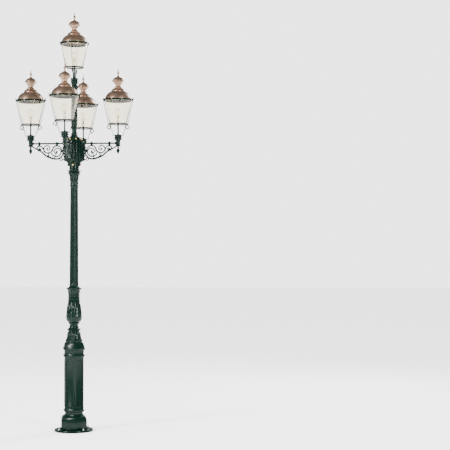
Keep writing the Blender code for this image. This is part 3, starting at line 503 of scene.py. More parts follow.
def gloss_enamel():
    """Two-pack gloss enamel sprayed on sand castings: deep, with orange peel, the sand's grain and patches
    where the paint lies thicker.
    """
    tones = bpy.context.scene.lamp_colours
    material, tree, shader = blank("gloss_enamel_on_sand_castings")
    place = node(tree, "TexCoord").outputs["Object"]
    # Paint gathers in patches of about 60 mm
    patches = node(tree, "TexNoise", {"Vector": place, "Scale": 16.0, "Detail": 3.0})
    mix = node(tree, "Mix", {0: patches.outputs["Fac"], 6: linear(tones.green_deep), 7: linear(tones.green)},
               data_type="RGBA")
    # Orange peel of about 4 mm, drawn coarser than the real 1 mm so that it shows
    peel = node(tree, "TexNoise", {"Vector": place, "Scale": 260.0, "Detail": 2.0})
    # The sand's grain under the paint, about 1.5 mm
    grain = node(tree, "TexNoise", {"Vector": place, "Scale": 700.0, "Detail": 4.0})
    height = node(tree, "Math", {0: peel.outputs["Fac"], 1: grain.outputs["Fac"]}, operation="ADD")
    bump = node(tree, "Bump", {"Height": height.outputs["Value"], "Strength": 0.035, "Distance": 0.001})
    rough = node(tree, "MapRange", {"Value": patches.outputs["Fac"], "To Min": 0.16, "To Max": 0.28})
    set_up(tree, shader, Base_Color=mix.outputs[2], Roughness=rough.outputs["Result"],
           Normal=bump.outputs["Normal"], Specular_IOR_Level=0.1, Coat_Weight=0.08, Coat_Roughness=0.06)
    return material


def brushed_copper(side):
    """Spun copper, brushed on the lathe and lacquered: fine rings round the axis that spread highlights."""
    tones = bpy.context.scene.lamp_colours
    material, tree, shader = blank("brushed_copper_" + side)
    axis = centre("glass_" + side)
    place = node(tree, "Mapping", {"Vector": node(tree, "TexCoord").outputs["Object"],
                                   "Location": (-axis.x, -axis.y, 0)})
    flat = node(tree, "VectorMath", {0: place.outputs["Vector"], 1: (1, 1, 0)}, operation="MULTIPLY")
    out = node(tree, "VectorMath", {0: flat.outputs["Vector"]}, operation="LENGTH")
    split = node(tree, "SeparateXYZ", {"Vector": place.outputs["Vector"]})
    turn = node(tree, "Math", {0: split.outputs["Y"], 1: split.outputs["X"]}, operation="ARCTAN2")
    # A brush line is about 0.3 mm, drawn at 1.5 mm so that it shows; along the ring it runs on for 80 mm
    rings = node(tree, "CombineXYZ", {"X": out.outputs["Value"], "Y": split.outputs["Z"]})
    fine = node(tree, "VectorMath", {0: rings.outputs["Vector"], 1: (650, 650, 0)}, operation="MULTIPLY")
    along = node(tree, "Math", {0: turn.outputs["Value"], 1: 1.6}, operation="MULTIPLY")
    drift = node(tree, "CombineXYZ", {"Z": along.outputs["Value"]})
    at = node(tree, "VectorMath", {0: fine.outputs["Vector"], 1: drift.outputs["Vector"]}, operation="ADD")
    lines = node(tree, "TexNoise", {"Vector": at.outputs["Vector"], "Scale": 1.0, "Detail": 3.0})
    # Lacquer and handling leave soft clouds of about 50 mm
    clouds = node(tree, "TexNoise", {"Vector": place.outputs["Vector"], "Scale": 18.0, "Detail": 3.0})
    share = node(tree, "Math", {0: lines.outputs["Fac"], 1: clouds.outputs["Fac"]}, operation="MULTIPLY")
    tone = node(tree, "MapRange", {"Value": share.outputs["Value"], "From Min": 0.12, "From Max": 0.42})
    shades = {0: tone.outputs["Result"], 6: linear(tones.copper_dark), 7: linear(tones.copper)}
    mix = node(tree, "Mix", shades, data_type="RGBA")
    rough = node(tree, "MapRange", {"Value": lines.outputs["Fac"], "To Min": 0.3, "To Max": 0.48})
    bump = node(tree, "Bump", {"Height": lines.outputs["Fac"], "Strength": 0.25, "Distance": 0.0006})
    set_up(tree, shader, Base_Color=mix.outputs[2], Metallic=1.0, Roughness=rough.outputs["Result"],
           Normal=bump.outputs["Normal"])
    return material


def clear_glass(name, hexcode, roughness):
    """Blown or drawn glass: clear, faintly tinted, with slow waves in its surface."""
    material, tree, shader = blank(name)
    place = node(tree, "TexCoord").outputs["Object"]
    # Waves of about 40 mm from the drawing of the glass
    waves = node(tree, "TexNoise", {"Vector": place, "Scale": 22.0, "Detail": 1.0})
    bump = node(tree, "Bump", {"Height": waves.outputs["Fac"], "Strength": 0.05, "Distance": 0.002})
    set_up(tree, shader, Base_Color=linear(hexcode), Roughness=roughness, IOR=1.5, Specular_IOR_Level=0.2,
           Transmission_Weight=1.0, Normal=bump.outputs["Normal"])
    return material


def mottled(name, dark, light, scale, roughness, metallic=0.0, bumpy=0.05, coat=0.0):
    """A plain finish with soft tone changes, for moulded, glazed, plated or turned pieces."""
    material, tree, shader = blank(name)
    place = node(tree, "TexCoord").outputs["Object"]
    clouds = node(tree, "TexNoise", {"Vector": place, "Scale": scale, "Detail": 4.0})
    mix = node(tree, "Mix", {0: clouds.outputs["Fac"], 6: linear(dark), 7: linear(light)}, data_type="RGBA")
    fine = node(tree, "TexNoise", {"Vector": place, "Scale": scale * 9, "Detail": 2.0})
    bump = node(tree, "Bump", {"Height": fine.outputs["Fac"], "Strength": bumpy, "Distance": 0.001})
    rough = node(tree, "MapRange", {"Value": clouds.outputs["Fac"], "To Min": roughness - 0.06,
                                    "To Max": roughness + 0.06})
    set_up(tree, shader, Base_Color=mix.outputs[2], Metallic=metallic, Roughness=rough.outputs["Result"],
           Normal=bump.outputs["Normal"], Coat_Weight=coat)
    return material


def shared(make, *given):
    """The material that a maker makes, made once."""
    key = make.__name__ + "".join(map(str, given))
    if key not in shared.made:
        shared.made[key] = make(*given)
    return shared.made[key]


shared.made = {}


def enamel():
    return shared(gloss_enamel)


def brass():
    tones = bpy.context.scene.lamp_colours
    # Turned brass: warm, with slight lathe clouding of about 10 mm
    return shared(mottled, "turned_brass", "#B99A55", tones.brass, 90.0, 0.26, 1.0, 0.04)


def steel():
    tones = bpy.context.scene.lamp_colours
    # Zinc plating with spangle clouding of about 12 mm
    return shared(mottled, "zinc_plated_steel", "#8E9396", tones.zinc, 80.0, 0.36, 1.0, 0.05)


def painted_rim_shade():
    # Painted shade: near-black matt paint on a ring under the rims, standing for the shade inside the hood,
    # uneven over about 20 mm
    return shared(mottled, "matt_stove_paint", "#020605", "#040D0A", 45.0, 0.85, 0.0, 0.05)


def porcelain():
    tones = bpy.context.scene.lamp_colours
    return shared(mottled, "glazed_porcelain", "#E6E0D2", tones.porcelain, 40.0, 0.22, 0.0, 0.02, 0.5)


def moulded_plastic():
    tones = bpy.context.scene.lamp_colours
    # Spark-eroded mould texture of about 1 mm
    return shared(mottled, "moulded_plastic", "#8A8E90", tones.plastic, 120.0, 0.5, 0.0, 0.1)


def lantern_glass():
    return shared(clear_glass, "drawn_lantern_glass", bpy.context.scene.lamp_colours.glass, 0.03)


def lamp_glass():
    return shared(clear_glass, "blown_lamp_glass", "#FBFAF4", 0.06)


def tungsten():
    return shared(mottled, "drawn_tungsten", "#5B5B58", "#8B8A84", 200.0, 0.35, 1.0, 0.02)


class OBJECT_OT_lamp_stage(bpy.types.Operator):
    """Pale floor, soft studio light and a camera level with the lamp's middle"""

    bl_idname = "street_lamp.stage"
    bl_label = "Stage"

    def execute(self, context):
        tones = context.scene.lamp_colours
        floor = added("floor", bpy.ops.mesh.primitive_plane_add, size=120)
        material, tree, shader = blank("painted_studio_floor")
        place = node(tree, "TexCoord").outputs["Object"]
        # Rolled paint, mottled over about 200 mm
        clouds = node(tree, "TexNoise", {"Vector": place, "Scale": 5.0, "Detail": 2.0})
        rough = node(tree, "MapRange", {"Value": clouds.outputs["Fac"], "To Min": 0.78, "To Max": 0.88})
        set_up(tree, shader, Base_Color=linear(tones.floor), Roughness=rough.outputs["Result"])
        floor.data.materials.append(material)

        world = bpy.data.worlds.new("studio")
        world.use_nodes = True
        tree = world.node_tree
        tree.nodes.clear()
        # A white room that shows dimmer in gloss, as if dark flags stood round the lamp
        rays = node(tree, "LightPath")
        seen = node(tree, "Math", {0: rays.outputs["Is Camera Ray"], 1: rays.outputs["Is Transmission Ray"]},
                    operation="MAXIMUM")
        lit = node(tree, "Math", {0: seen.outputs["Value"], 1: rays.outputs["Is Diffuse Ray"]},
                   operation="MAXIMUM")
        bright = node(tree, "Background", {"Color": (1, 1, 1, 1), "Strength": 3.4})
        dim = node(tree, "Background", {"Color": (0.93, 0.96, 1, 1), "Strength": 0.4})
        mixed = node(tree, "MixShader", {0: lit.outputs["Value"], 1: dim.outputs["Background"],
                                         2: bright.outputs["Background"]})
        out = node(tree, "OutputWorld", {"Surface": mixed.outputs["Shader"]})
        out.is_active_output = True
        context.scene.world = world

        for name, place, aim, size, power in (
            ("key", (-7.0, -8.0, 6.5), (0, 0, 3.0), (1.6, 7.0), 2400.0),
            ("fill", (7.5, -8.5, 5.0), (0, 0, 3.0), (1.3, 6.5), 1300.0),
            ("rim", (5.0, 7.0, 7.0), (0, 0, 3.5), (2.0, 5.0), 1100.0),
        ):
            lamp = added(name, bpy.ops.object.light_add, type="AREA", location=place)
            lamp.rotation_euler = (Vector(aim) - Vector(place)).to_track_quat("-Z", "Y").to_euler()
            lamp.data.shape = "RECTANGLE"
            lamp.data.size, lamp.data.size_y = size
            lamp.data.energy = power

        # It looks past the lamp, which stands left of the middle, at a point this high and this far beside it
        bearing, distance, level = math.radians(12), 18.0, 2.5
        aim, beside = 2.774, 2.05
        camera = added("camera", bpy.ops.object.camera_add,
                       location=(distance * math.sin(bearing), -distance * math.cos(bearing), level))
        camera.data.sensor_width = 36.0
        camera.data.lens = 106.0
        camera.data.clip_end = 400.0
        tilt = math.atan((aim - level) / distance)
        camera.rotation_euler = (math.pi / 2 + tilt, 0, bearing - math.atan(beside / distance))
        context.scene.camera = camera
        return {"FINISHED"}


class OBJECT_OT_lamp_foot(bpy.types.Operator):
    """Foot flange with its four anchor bolts, nuts and washers"""

    bl_idname = "street_lamp.foot"
    bl_label = "Foot flange and anchors"

    def execute(self, context):
        sizes = context.scene.lamp_sizes
        flange = turned(
            "visual_foot_flange",
            [
                (0.06, FLANGE_T), (FLANGE_R - 0.012, FLANGE_T),
                (FLANGE_R - 0.003, FLANGE_T - 0.006, 0.002), (FLANGE_R, FLANGE_T - 0.012),
                (FLANGE_R, 0.002), (FLANGE_R - 0.002, 0), (0.06, 0),
            ],
            sizes.fineness,
        )
        circle_r = 0.231
        fittings = []
        for i in range(4):
            turn = Matrix.Rotation(math.tau * (i + 0.5) / 4, 4, "Z")
            at = turn @ Vector((circle_r, 0, 0))
            cut(flange, barrel("hole", 0.01, -0.01, FLANGE_T + 0.01, 0.0002, at=at))
            washer = barrel("washer", 0.015, FLANGE_T - 0.0005, FLANGE_T + 0.003, 0.0004, at=at)
            nut = barrel("nut", 0.0135, FLANGE_T + 0.003, FLANGE_T + 0.016, 0.001, 6, at=at)
            stud = barrel("stud", 0.0078, 0.004, FLANGE_T + 0.024, 0.0012, at=at)
            fittings += [washer, nut, stud]
        cast("foot_flange", flange)
        finished(joined("visual_anchor_bolts", *fittings), "post", steel(), "green_paint")
        return {"FINISHED"}


def arch_line(width, foot, head, steps=20):
    """A round-headed outline (x, z) from foot to head."""
    half = width / 2
    line = [(-half, foot), (half, foot), (half, head - half)]
    return line + arc(line[-1], (-half, head - half), -half * 0.999, steps)


def slab(name, line, front, back):
    """A plate whose outline (x, z) stands in the XZ plane, from y = front to y = back."""
    obj = chain(name, [(x, front, z) for x, z in line], closed=True)
    return edited(
        obj,
        (bpy.ops.mesh.edge_face_add, {}),
        (bpy.ops.mesh.extrude_region_move, {"TRANSFORM_OT_translate": {"value": (0, back - front, 0)}}),
        (bpy.ops.mesh.select_all, {"action": "SELECT"}),
        (bpy.ops.mesh.normals_make_consistent, {"inside": False}),
    )


BODY_R = 0.146
BODY_FLAT = BODY_R * math.cos(math.pi / PEDESTAL_SIDES)
WALL = 0.01
DOOR_W = 0.096
DOOR_H = 0.42
DOOR_SILL = 0.4
KNUCKLE_L = 0.03
KNUCKLE_FEET = (
    PEDESTAL_LOW + DOOR_SILL + 0.04,
    PEDESTAL_LOW + DOOR_SILL + DOOR_H - DOOR_W / 2 - KNUCKLE_L - 0.04,
)


class OBJECT_OT_lamp_pedestal(bpy.types.Operator):
    """Six-sided pedestal with sunk, round-headed panels and the opening for its door"""

    bl_idname = "street_lamp.pedestal"
    bl_label = "Pedestal"

    def execute(self, context):
        sizes = context.scene.lamp_sizes
        low, top = PEDESTAL_LOW, PEDESTAL_HIGH
        shell = turned(
            "visual_pedestal",
            [
                (0.07, top), (0.1325, top), (0.135, top - 0.004, 0.001), (0.154, top - 0.05, 0.003),
                (0.156, top - 0.056), (0.156, top - 0.062), (0.159, top - 0.064),
                (0.164, top - 0.074, -0.001), (0.169, top - 0.087, 0.003), (0.161, top - 0.096, 0.002),
                (0.151, top - 0.103, -0.002), (0.149, top - 0.11), (0.1485, top - 0.15),
                (0.15, top - 0.16), (0.1585, top - 0.169, -0.0015), (0.163, top - 0.179, 0.002),
                (0.158, top - 0.188, 0.002), (0.148, top - 0.195, -0.0015), (BODY_R, top - 0.2),
                (BODY_R, low + 0.276), (0.148, low + 0.27), (0.1545, low + 0.262, -0.001),
                (0.158, low + 0.25, 0.0022), (0.154, low + 0.24, 0.001), (0.139, low + 0.232, -0.002),
                (0.1368, low + 0.226), (0.1368, low + 0.202), (0.14, low + 0.197), (0.147, low + 0.192),
                (0.156, low + 0.18, -0.001), (0.19, low + 0.128, 0.012), (0.196, low + 0.122),
                (0.196, low + 0.002), (0.194, low), (0.176, low), (0.176, low + 0.1),
                (BODY_R - WALL - 0.012, low + 0.192), (BODY_R - WALL - 0.012, low + 0.242),
                (BODY_R - WALL, low + 0.272), (BODY_R - WALL, top - 0.11), (0.07, top - 0.02),
            ],
            PEDESTAL_SIDES,
            arcs=4,
        )
        sill, head = low + 0.302, top - 0.232
        beads = []
        for face in range(1, PEDESTAL_SIDES):
            turn = Matrix.Rotation(math.tau * face / PEDESTAL_SIDES, 4, "Z")
            line = arch_line(0.104, sill, head)
            panel = slab("panel", line, BODY_FLAT - sizes.panel_depth, BODY_FLAT + 0.02)
            cut(shell, copied(panel, "panel", turn))
            bpy.data.objects.remove(panel)
            inner = arch_line(0.104 - 2 * sizes.bead, sill + sizes.bead, head - sizes.bead)
            bead = wire("bead", [(x, BODY_FLAT - sizes.panel_depth * 0.4, z) for x, z in inner], sizes.bead,
                        closed=True)
            beads.append(settled(copied(bead, "bead", turn)))
            bpy.data.objects.remove(bead)
        opening = slab("opening", arch_line(DOOR_W, low + DOOR_SILL, low + DOOR_SILL + DOOR_H),
                       BODY_FLAT - 0.04, BODY_FLAT + 0.04)
        cut(shell, opening)
        for foot in KNUCKLE_FEET:
            at = (DOOR_W / 2 - 0.002, BODY_FLAT, 0)
            cut(shell, barrel("notch", 0.005, foot - 0.001, foot + KNUCKLE_L + 0.001, 0.0002, at=at))
        bevelled(shell, sizes.edge, 2, 28)
        whole = joined("casting", shell, *beads)
        whole.rotation_euler.z = PEDESTAL_TURN
        cast("pedestal", settled(whole), angle=30)
        return {"FINISHED"}


class OBJECT_OT_lamp_door(bpy.types.Operator):
    """Service door with its two knuckles and a sunk panel, and the quarter-turn lock"""

    bl_idname = "street_lamp.door"
    bl_label = "Service door and lock"

    def execute(self, context):
        gap = 0.002
        width = DOOR_W - 2 * gap
        sill, head = PEDESTAL_LOW + DOOR_SILL + gap, PEDESTAL_LOW + DOOR_SILL + DOOR_H - gap
        leaf_piece = slab("visual_service_door", arch_line(width, sill, head), -0.006, 0)
        moulding = slab("moulding", arch_line(width - 0.024, sill + 0.012, head - 0.012), -0.0015, 0.01)
        cut(leaf_piece, moulding)
        bevelled(leaf_piece, 0.001)
        settled(leaf_piece)
        pieces = [leaf_piece]
        lock = LOCK_AXIS - DOOR_HINGE
        across = -Vector((lock.x, lock.y)).length + width / 2
        for foot in KNUCKLE_FEET:
            pieces.append(barrel("knuckle", 0.004, foot, foot + KNUCKLE_L, 0.0006, at=(width / 2, 0, 0)))
        door = joined("visual_service_door", *pieces)
        cut(door, barrel("hole", 0.0068, -0.02, 0.02, 0.0002, axis="Y", at=(across, 0, LOCK_AXIS.z)))
        # From its own frame, outer face at y = 0, onto the pedestal's face
        face = Matrix.Rotation(PEDESTAL_TURN, 4, "Z") @ Matrix.Translation((0, BODY_FLAT, 0))
        door.matrix_world = face @ door.matrix_world
        finished(settled(door), "service_door", enamel(), "green_paint", "service_door")

        at = (across, 0, LOCK_AXIS.z)
        head_piece = barrel("head", 0.009, 0.0003, 0.0042, 0.001, 40, "Y", at)
        cut(head_piece, brick("slot", (across - 0.0012, 0.0025, LOCK_AXIS.z - 0.02),
                              (across + 0.0012, 0.02, LOCK_AXIS.z + 0.02), 0.0001))
        spindle = barrel("spindle", 0.006, -0.0125, 0.002, 0.0004, 32, "Y", at)
        tongue = brick("tongue", (across - 0.006, -0.014, LOCK_AXIS.z - 0.006),
                       (across + 0.006, -0.011, LOCK_AXIS.z + 0.026), 0.0008)
        lock_piece = joined("visual_door_lock", head_piece, spindle, tongue)
        lock_piece.matrix_world = face @ lock_piece.matrix_world
        finished(settled(lock_piece), "door_lock", brass(), "brass", "door_lock")
        return {"FINISHED"}


class OBJECT_OT_lamp_terminal_box(bpy.types.Operator):
    """Fused terminal box inside the pedestal, with lid, lid screws and cable glands"""

    bl_idname = "street_lamp.terminal_box"
    bl_label = "Terminal box"

    def execute(self, context):
        low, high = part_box("terminal_box")
        foot, top = low.z, high.z
        back = -(BODY_R - WALL) * math.cos(math.pi / PEDESTAL_SIDES) + 0.0003
        body = brick("body", (-0.035, back, foot), (0.035, back + 0.033, top), 0.003)
        lid = brick("lid", (-0.0345, back + 0.0335, foot + 0.0005), (0.0345, back + 0.0445, top - 0.0005),
                    0.003)
        pieces = [body, lid]
        for x in (-0.027, 0.027):
            for z in (foot + 0.01, top - 0.01):
                screw = barrel("screw", 0.0035, back + 0.044, back + 0.0458, 0.0005, 24, "Y", (x, 0, z))
                cut(screw, brick("slot", (x - 0.0005, back + 0.045, z - 0.01),
                                 (x + 0.0005, back + 0.05, z + 0.01), 0.0001))
                pieces.append(screw)
        for x in (-0.018, 0.018):
            at = (x, back + 0.018, 0)
            pieces.append(barrel("gland", 0.009, foot - 0.009, foot + 0.002, 0.001, 6, "Z", at))
        whole = joined("visual_terminal_box", *pieces)
        whole.rotation_euler.z = PEDESTAL_TURN
        finished(settled(whole), "post", moulded_plastic(), "grey_plastic", "terminal_box")
        return {"FINISHED"}


class OBJECT_OT_lamp_shoulder(bpy.types.Operator):
    """Leafed bell on the pedestal"""

    bl_idname = "street_lamp.shoulder"
    bl_label = "Shoulder"

    def execute(self, context):
        sizes = context.scene.lamp_sizes
        low, top = SHOULDER_LOW, SHOULDER_HIGH
        profile = [
            (0.04, top), (0.0575, top), (0.058, top - 0.006), (0.063, top - 0.022, -0.001),
            (0.074, top - 0.044, -0.002), (0.078, top - 0.051), (0.0875, top - 0.055),
            (0.088, top - 0.069, 0.006), (0.077, top - 0.075), (0.072, top - 0.082, -0.001),
            (0.079, top - 0.101, 0.0015), (0.086, top - 0.116, 0.001), (0.0885, top - 0.14),
            (0.092, top - 0.162), (0.099, top - 0.184, -0.002), (0.106, top - 0.2, 0.001),
            (0.109, top - 0.206), (0.1095, low + 0.003, 0.0015), (0.108, low), (0.094, low),
            (0.094, low + 0.02), (0.0715, low + 0.07), (0.04, top - 0.07),
        ]
        body = turned("bell", profile, sizes.fineness)
        skin = outline(profile[1:19])
        leaves = leaf_row("leaves", skin, low + 0.014, top - 0.082, 8, 0.036, sizes.relief, 4, curl=0.004)
        between = leaf_row("between", skin, low + 0.012, low + 0.105, 8, 0.024, sizes.relief * 0.8, 3,
                           math.pi / 8, 0.003)
        beads = around(ball("bead", 0.0042, (0.078, 0, top - 0.047)), "beads", 24)
        cast("shoulder", body, leaves, between, beads)
        return {"FINISHED"}


class OBJECT_OT_lamp_baluster(bpy.types.Operator):
    """Leafed vase under the shaft"""

    bl_idname = "street_lamp.baluster"
    bl_label = "Baluster"

    def execute(self, context):
        sizes = context.scene.lamp_sizes
        low, top = BALUSTER_LOW, BALUSTER_HIGH
        profile = [
            (0.04, top), (0.066, top), (0.07, top - 0.006, 0.0005), (0.083, top - 0.016, -0.0015),
            (0.096, top - 0.022), (0.0995, top - 0.03, 0.0025), (0.0955, top - 0.038, 0.002),
            (0.083, top - 0.046, -0.001), (0.08, top - 0.056), (0.0735, top - 0.074, -0.001),
            (0.0695, top - 0.096), (0.069, top - 0.13), (0.0702, top - 0.165), (0.073, top - 0.2),
            (0.077, top - 0.233), (0.086, top - 0.268), (0.091, top - 0.303), (0.095, top - 0.337),
            (0.1, top - 0.372), (0.102, top - 0.407), (0.1, low + 0.083, 0.001),
            (0.093, low + 0.062, 0.001), (0.08, low + 0.045, 0.001), (0.07, low + 0.04),
            (0.0735, low + 0.036), (0.076, low + 0.028, 0.0012), (0.0735, low + 0.02, 0.0012),
            (0.06, low + 0.012, -0.001), (0.0575, low + 0.006), (0.0575, low), (0.04, low),
            (0.04, low + 0.03), (0.088, low + 0.09), (0.088, low + 0.14), (0.0547, top - 0.19),
            (0.0547, top - 0.07), (0.04, top - 0.03),
        ]
        body = turned("vase", profile, sizes.fineness)
        skin = outline(profile[1:30])
        lower = leaf_row("lower", skin, low + 0.05, low + 0.3, 8, 0.046, sizes.relief, 5, curl=0.006)
        between = leaf_row("between", skin, low + 0.05, low + 0.215, 8, 0.032, sizes.relief * 0.7, 4,
                           math.pi / 8, 0.004)
        upper = leaf_row("upper", skin, top - 0.22, top - 0.052, 8, 0.026, sizes.relief * 0.8, 4,
                         math.pi / 8, 0.004)
        beads = around(ball("bead", 0.0045, (0.0965, 0, top - 0.041)), "beads", 24)
        cast("baluster", body, lower, between, upper, beads)
        return {"FINISHED"}


class OBJECT_OT_lamp_shaft(bpy.types.Operator):
    """Shaft whose flutes die out above its foot ring and below its neck ring"""

    bl_idname = "street_lamp.shaft"
    bl_label = "Fluted shaft"

    def execute(self, context):
        sizes = context.scene.lamp_sizes
        low, top = SHAFT_LOW, SHAFT_HIGH
        bore_r, foot_r, head_r = 0.04, 0.0607, 0.053
        # A flute dies out over the height of fade, and its hollow takes a share of its step round the shaft
        fade, share_cut = 0.03, 0.76
        edge = (1 - share_cut) / 2
        levels = [top - 0.012 - i * fade / 6 for i in range(7)]
        levels += [low + 0.02 + i * fade / 6 for i in range(6, -1, -1)]

        def plain(z):
            return foot_r + (head_r - foot_r) * (z - low) / (top - low)

        profile = [(bore_r, top), (plain(top), top), *[(plain(z), z) for z in levels]]
        profile += [(foot_r, low + 0.012), (foot_r + 0.0025, low + 0.008), (foot_r + 0.0025, low)]
        body = turned("fluted", [*profile, (bore_r, low)], sizes.flutes * 8)
        for vertex in body.data.vertices:
            radius = vertex.co.xy.length
            z = vertex.co.z
            if radius < bore_r + 0.005 or not levels[-1] <= z <= levels[0]:
                continue
            ends = min(1.0, (z - levels[-1]) / fade, (levels[0] - z) / fade)
            share = (math.atan2(vertex.co.y, vertex.co.x) / math.tau * sizes.flutes) % 1.0
            across = min(max((share - edge) / share_cut, 0), 1)
            hollow = max(0.0, math.sin(math.pi * across))
            vertex.co.xy *= 1 - sizes.flute_depth * hollow**0.8 * math.sqrt(max(ends, 0)) / radius
        cast("shaft", body, angle=25)
        return {"FINISHED"}


class OBJECT_OT_lamp_capital(bpy.types.Operator):
    """Leafed capital with its rings and the wide moulding under the hub"""

    bl_idname = "street_lamp.capital"
    bl_label = "Capital"

    def execute(self, context):
        sizes = context.scene.lamp_sizes
        low, top = CAPITAL_LOW, CAPITAL_HIGH
        profile = [
            (0.04, top), (0.0655, top), (0.066, top - 0.008), (0.078, top - 0.0105),
            (0.094, top - 0.013, -0.0006), (0.098, top - 0.0165, 0.0008), (0.0975, top - 0.0215, 0.0012),
            (0.091, top - 0.0255, 0.0004), (0.077, top - 0.034, -0.0018), (0.0735, top - 0.039),
            (0.08, top - 0.045), (0.082, top - 0.052, 0.0016), (0.079, top - 0.059, 0.0012),
            (0.066, top - 0.066, -0.002), (0.056, top - 0.09, -0.003), (0.053, top - 0.116),
            (0.053, low + 0.096), (0.056, low + 0.092), (0.06, low + 0.086, 0.001),
            (0.06, low + 0.08, 0.0012), (0.0545, low + 0.074, -0.0005), (0.0525, low + 0.06),
            (0.0525, low + 0.03), (0.0545, low + 0.022), (0.06, low + 0.016, -0.0005),
            (0.0605, low + 0.008, 0.0014), (0.0555, low + 0.002), (0.054, low), (0.04, low),
        ]
        body = turned("bell", profile, sizes.fineness)
        skin = outline(profile[1:27])
        upper = leaf_row("upper", skin, low + 0.096, top - 0.058, 8, 0.019, sizes.relief * 0.8, 4, curl=0.007)
        between = leaf_row("between", skin, low + 0.096, top - 0.076, 8, 0.014, sizes.relief * 0.6, 3,
                           math.pi / 8, 0.005)
        lower = leaf_row("lower", skin, low + 0.02, low + 0.074, 8, 0.017, sizes.relief * 0.6, 3, curl=0.002)
        cast("capital", body, upper, between, lower)
        return {"FINISHED"}


class OBJECT_OT_lamp_hub(bpy.types.Operator):
    """Hub that the brackets are bolted to, with its collar below and cone above"""

    bl_idname = "street_lamp.hub"
    bl_label = "Hub"

    def execute(self, context):
        sizes = context.scene.lamp_sizes
        low, top = HUB_LOW, HUB_HIGH
        block_low, block_top = low + 0.081, top - 0.064
        core = brick("core", (-0.0685, -0.0685, block_low), (0.0685, 0.0685, block_top), 0.0185)
        collar = turned(
            "collar",
            [
                (0.04, low + 0.1), (0.0655, low + 0.1), (0.0655, low + 0.074), (0.0685, low + 0.07),
                (0.0685, low + 0.064, 0.001), (0.0655, low + 0.06), (0.0655, low + 0.018),
                (0.069, low + 0.013, 0.0005), (0.069, low + 0.004, 0.0012), (0.066, low), (0.04, low),
            ],
            sizes.fineness,
        )
        cone_profile = [
            (0.02, top), (0.0335, top), (0.04, top - 0.008, 0.001), (0.043, top - 0.014),
            (0.044, top - 0.022, 0.0012), (0.04, top - 0.028), (0.047, top - 0.04, -0.002),
            (0.057, top - 0.058, -0.0015), (0.06, top - 0.064), (0.06, block_top - 0.02),
            (0.02, block_top - 0.02),
        ]
        cone = turned("cone", cone_profile, sizes.fineness)
        petals = leaf_row("petals", outline(cone_profile[1:9]), block_top - 0.002, top - 0.014, 8, 0.017,
                          sizes.relief * 0.5, 2, curl=0.002)
        cap = brick("cap", (-0.062, -0.062, block_top - 0.004), (0.062, 0.062, block_top + 0.003), 0.0025)
        cast("hub", core, collar, cone, petals, cap)
        return {"FINISHED"}


class OBJECT_OT_lamp_stem(bpy.types.Operator):
    """Slim column with its leaf cast on it, which carries the top lantern"""

    bl_idname = "street_lamp.stem"
    bl_label = "Stem"

    def execute(self, context):
        sizes = context.scene.lamp_sizes
        low, top = STEM_LOW, STEM_HIGH
        seat = top - 0.026
        profile = [
            (0.008, top), (0.021, top), (0.022, top - 0.001), (0.022, seat), (0.037, seat),
            (0.0375, seat - 0.016), (0.042, seat - 0.024, -0.001), (0.0555, seat - 0.034, -0.0015),
            (0.057, seat - 0.04, 0.001), (0.051, seat - 0.05, 0.0005), (0.039, seat - 0.062, -0.0025),
            (0.035, seat - 0.074), (0.033, seat - 0.11), (0.033, seat - 0.235), (0.0345, seat - 0.3),
            (0.0375, seat - 0.37), (0.04, seat - 0.44), (0.041, low + 0.17), (0.04, low + 0.12),
            (0.0365, low + 0.085, -0.001), (0.037, low + 0.076), (0.044, low + 0.068, -0.0005),
            (0.046, low + 0.06, 0.0012), (0.043, low + 0.052, 0.001), (0.0345, low + 0.042, -0.001),
            (0.033, low + 0.03), (0.0335, low), (0.008, low),
        ]
        body = turned("column", profile, sizes.fineness)
        skin = outline(profile[4:27])
        tall = leaf_row("tall", skin, low + 0.08, low + 0.345, 6, 0.02, sizes.relief * 0.7, 6, curl=0.002)
        between = leaf_row("between", skin, low + 0.08, low + 0.23, 6, 0.016, sizes.relief * 0.6, 4,
                           math.pi / 6, 0.002)
        crown = leaf_row("crown", skin, seat - 0.16, seat - 0.046, 8, 0.015, sizes.relief * 0.6, 3,
                         curl=0.008)
        cast("stem", body, tall, between, crown)
        return {"FINISHED"}


# The bracket's scrolls (x, z) in the arm's own frame
RIB = (
    (0.579, -0.042), (0.56, -0.051), (0.526, -0.069), (0.5, -0.082), (0.476, -0.094), (0.452, -0.11),
    (0.429, -0.129), (0.402, -0.154), (0.372, -0.174), (0.33, -0.192), (0.286, -0.205), (0.24, -0.209),
    (0.204, -0.2), (0.178, -0.18), (0.16, -0.15), (0.152, -0.115), (0.15, -0.075), (0.142, -0.046),
    (0.12, -0.032),
)
WAVE = (
    (0.166, -0.12), (0.168, -0.092), (0.18, -0.062), (0.2, -0.042), (0.227, -0.032), (0.256, -0.031),
    (0.277, -0.042), (0.293, -0.066), (0.304, -0.091), (0.318, -0.11), (0.341, -0.122), (0.369, -0.127),
    (0.396, -0.118), (0.413, -0.099), (0.421, -0.072), (0.409, -0.044), (0.384, -0.029), (0.354, -0.032),
    (0.337, -0.052), (0.337, -0.076), (0.354, -0.089), (0.375, -0.084), (0.382, -0.068),
)
SPIRAL = (
    (0.312, -0.128), (0.303, -0.148), (0.284, -0.164), (0.26, -0.173), (0.234, -0.174), (0.208, -0.163),
    (0.19, -0.144), (0.183, -0.119), (0.185, -0.095), (0.197, -0.077), (0.215, -0.067), (0.237, -0.065),
    (0.259, -0.074), (0.272, -0.092), (0.273, -0.114), (0.26, -0.13), (0.242, -0.132), (0.231, -0.122),
)
ARCH = (
    (0.416, -0.098), (0.43, -0.072), (0.44, -0.051), (0.457, -0.038), (0.479, -0.034), (0.5, -0.042),
    (0.511, -0.06), (0.508, -0.08), (0.493, -0.094), (0.474, -0.095), (0.459, -0.083), (0.458, -0.067),
)
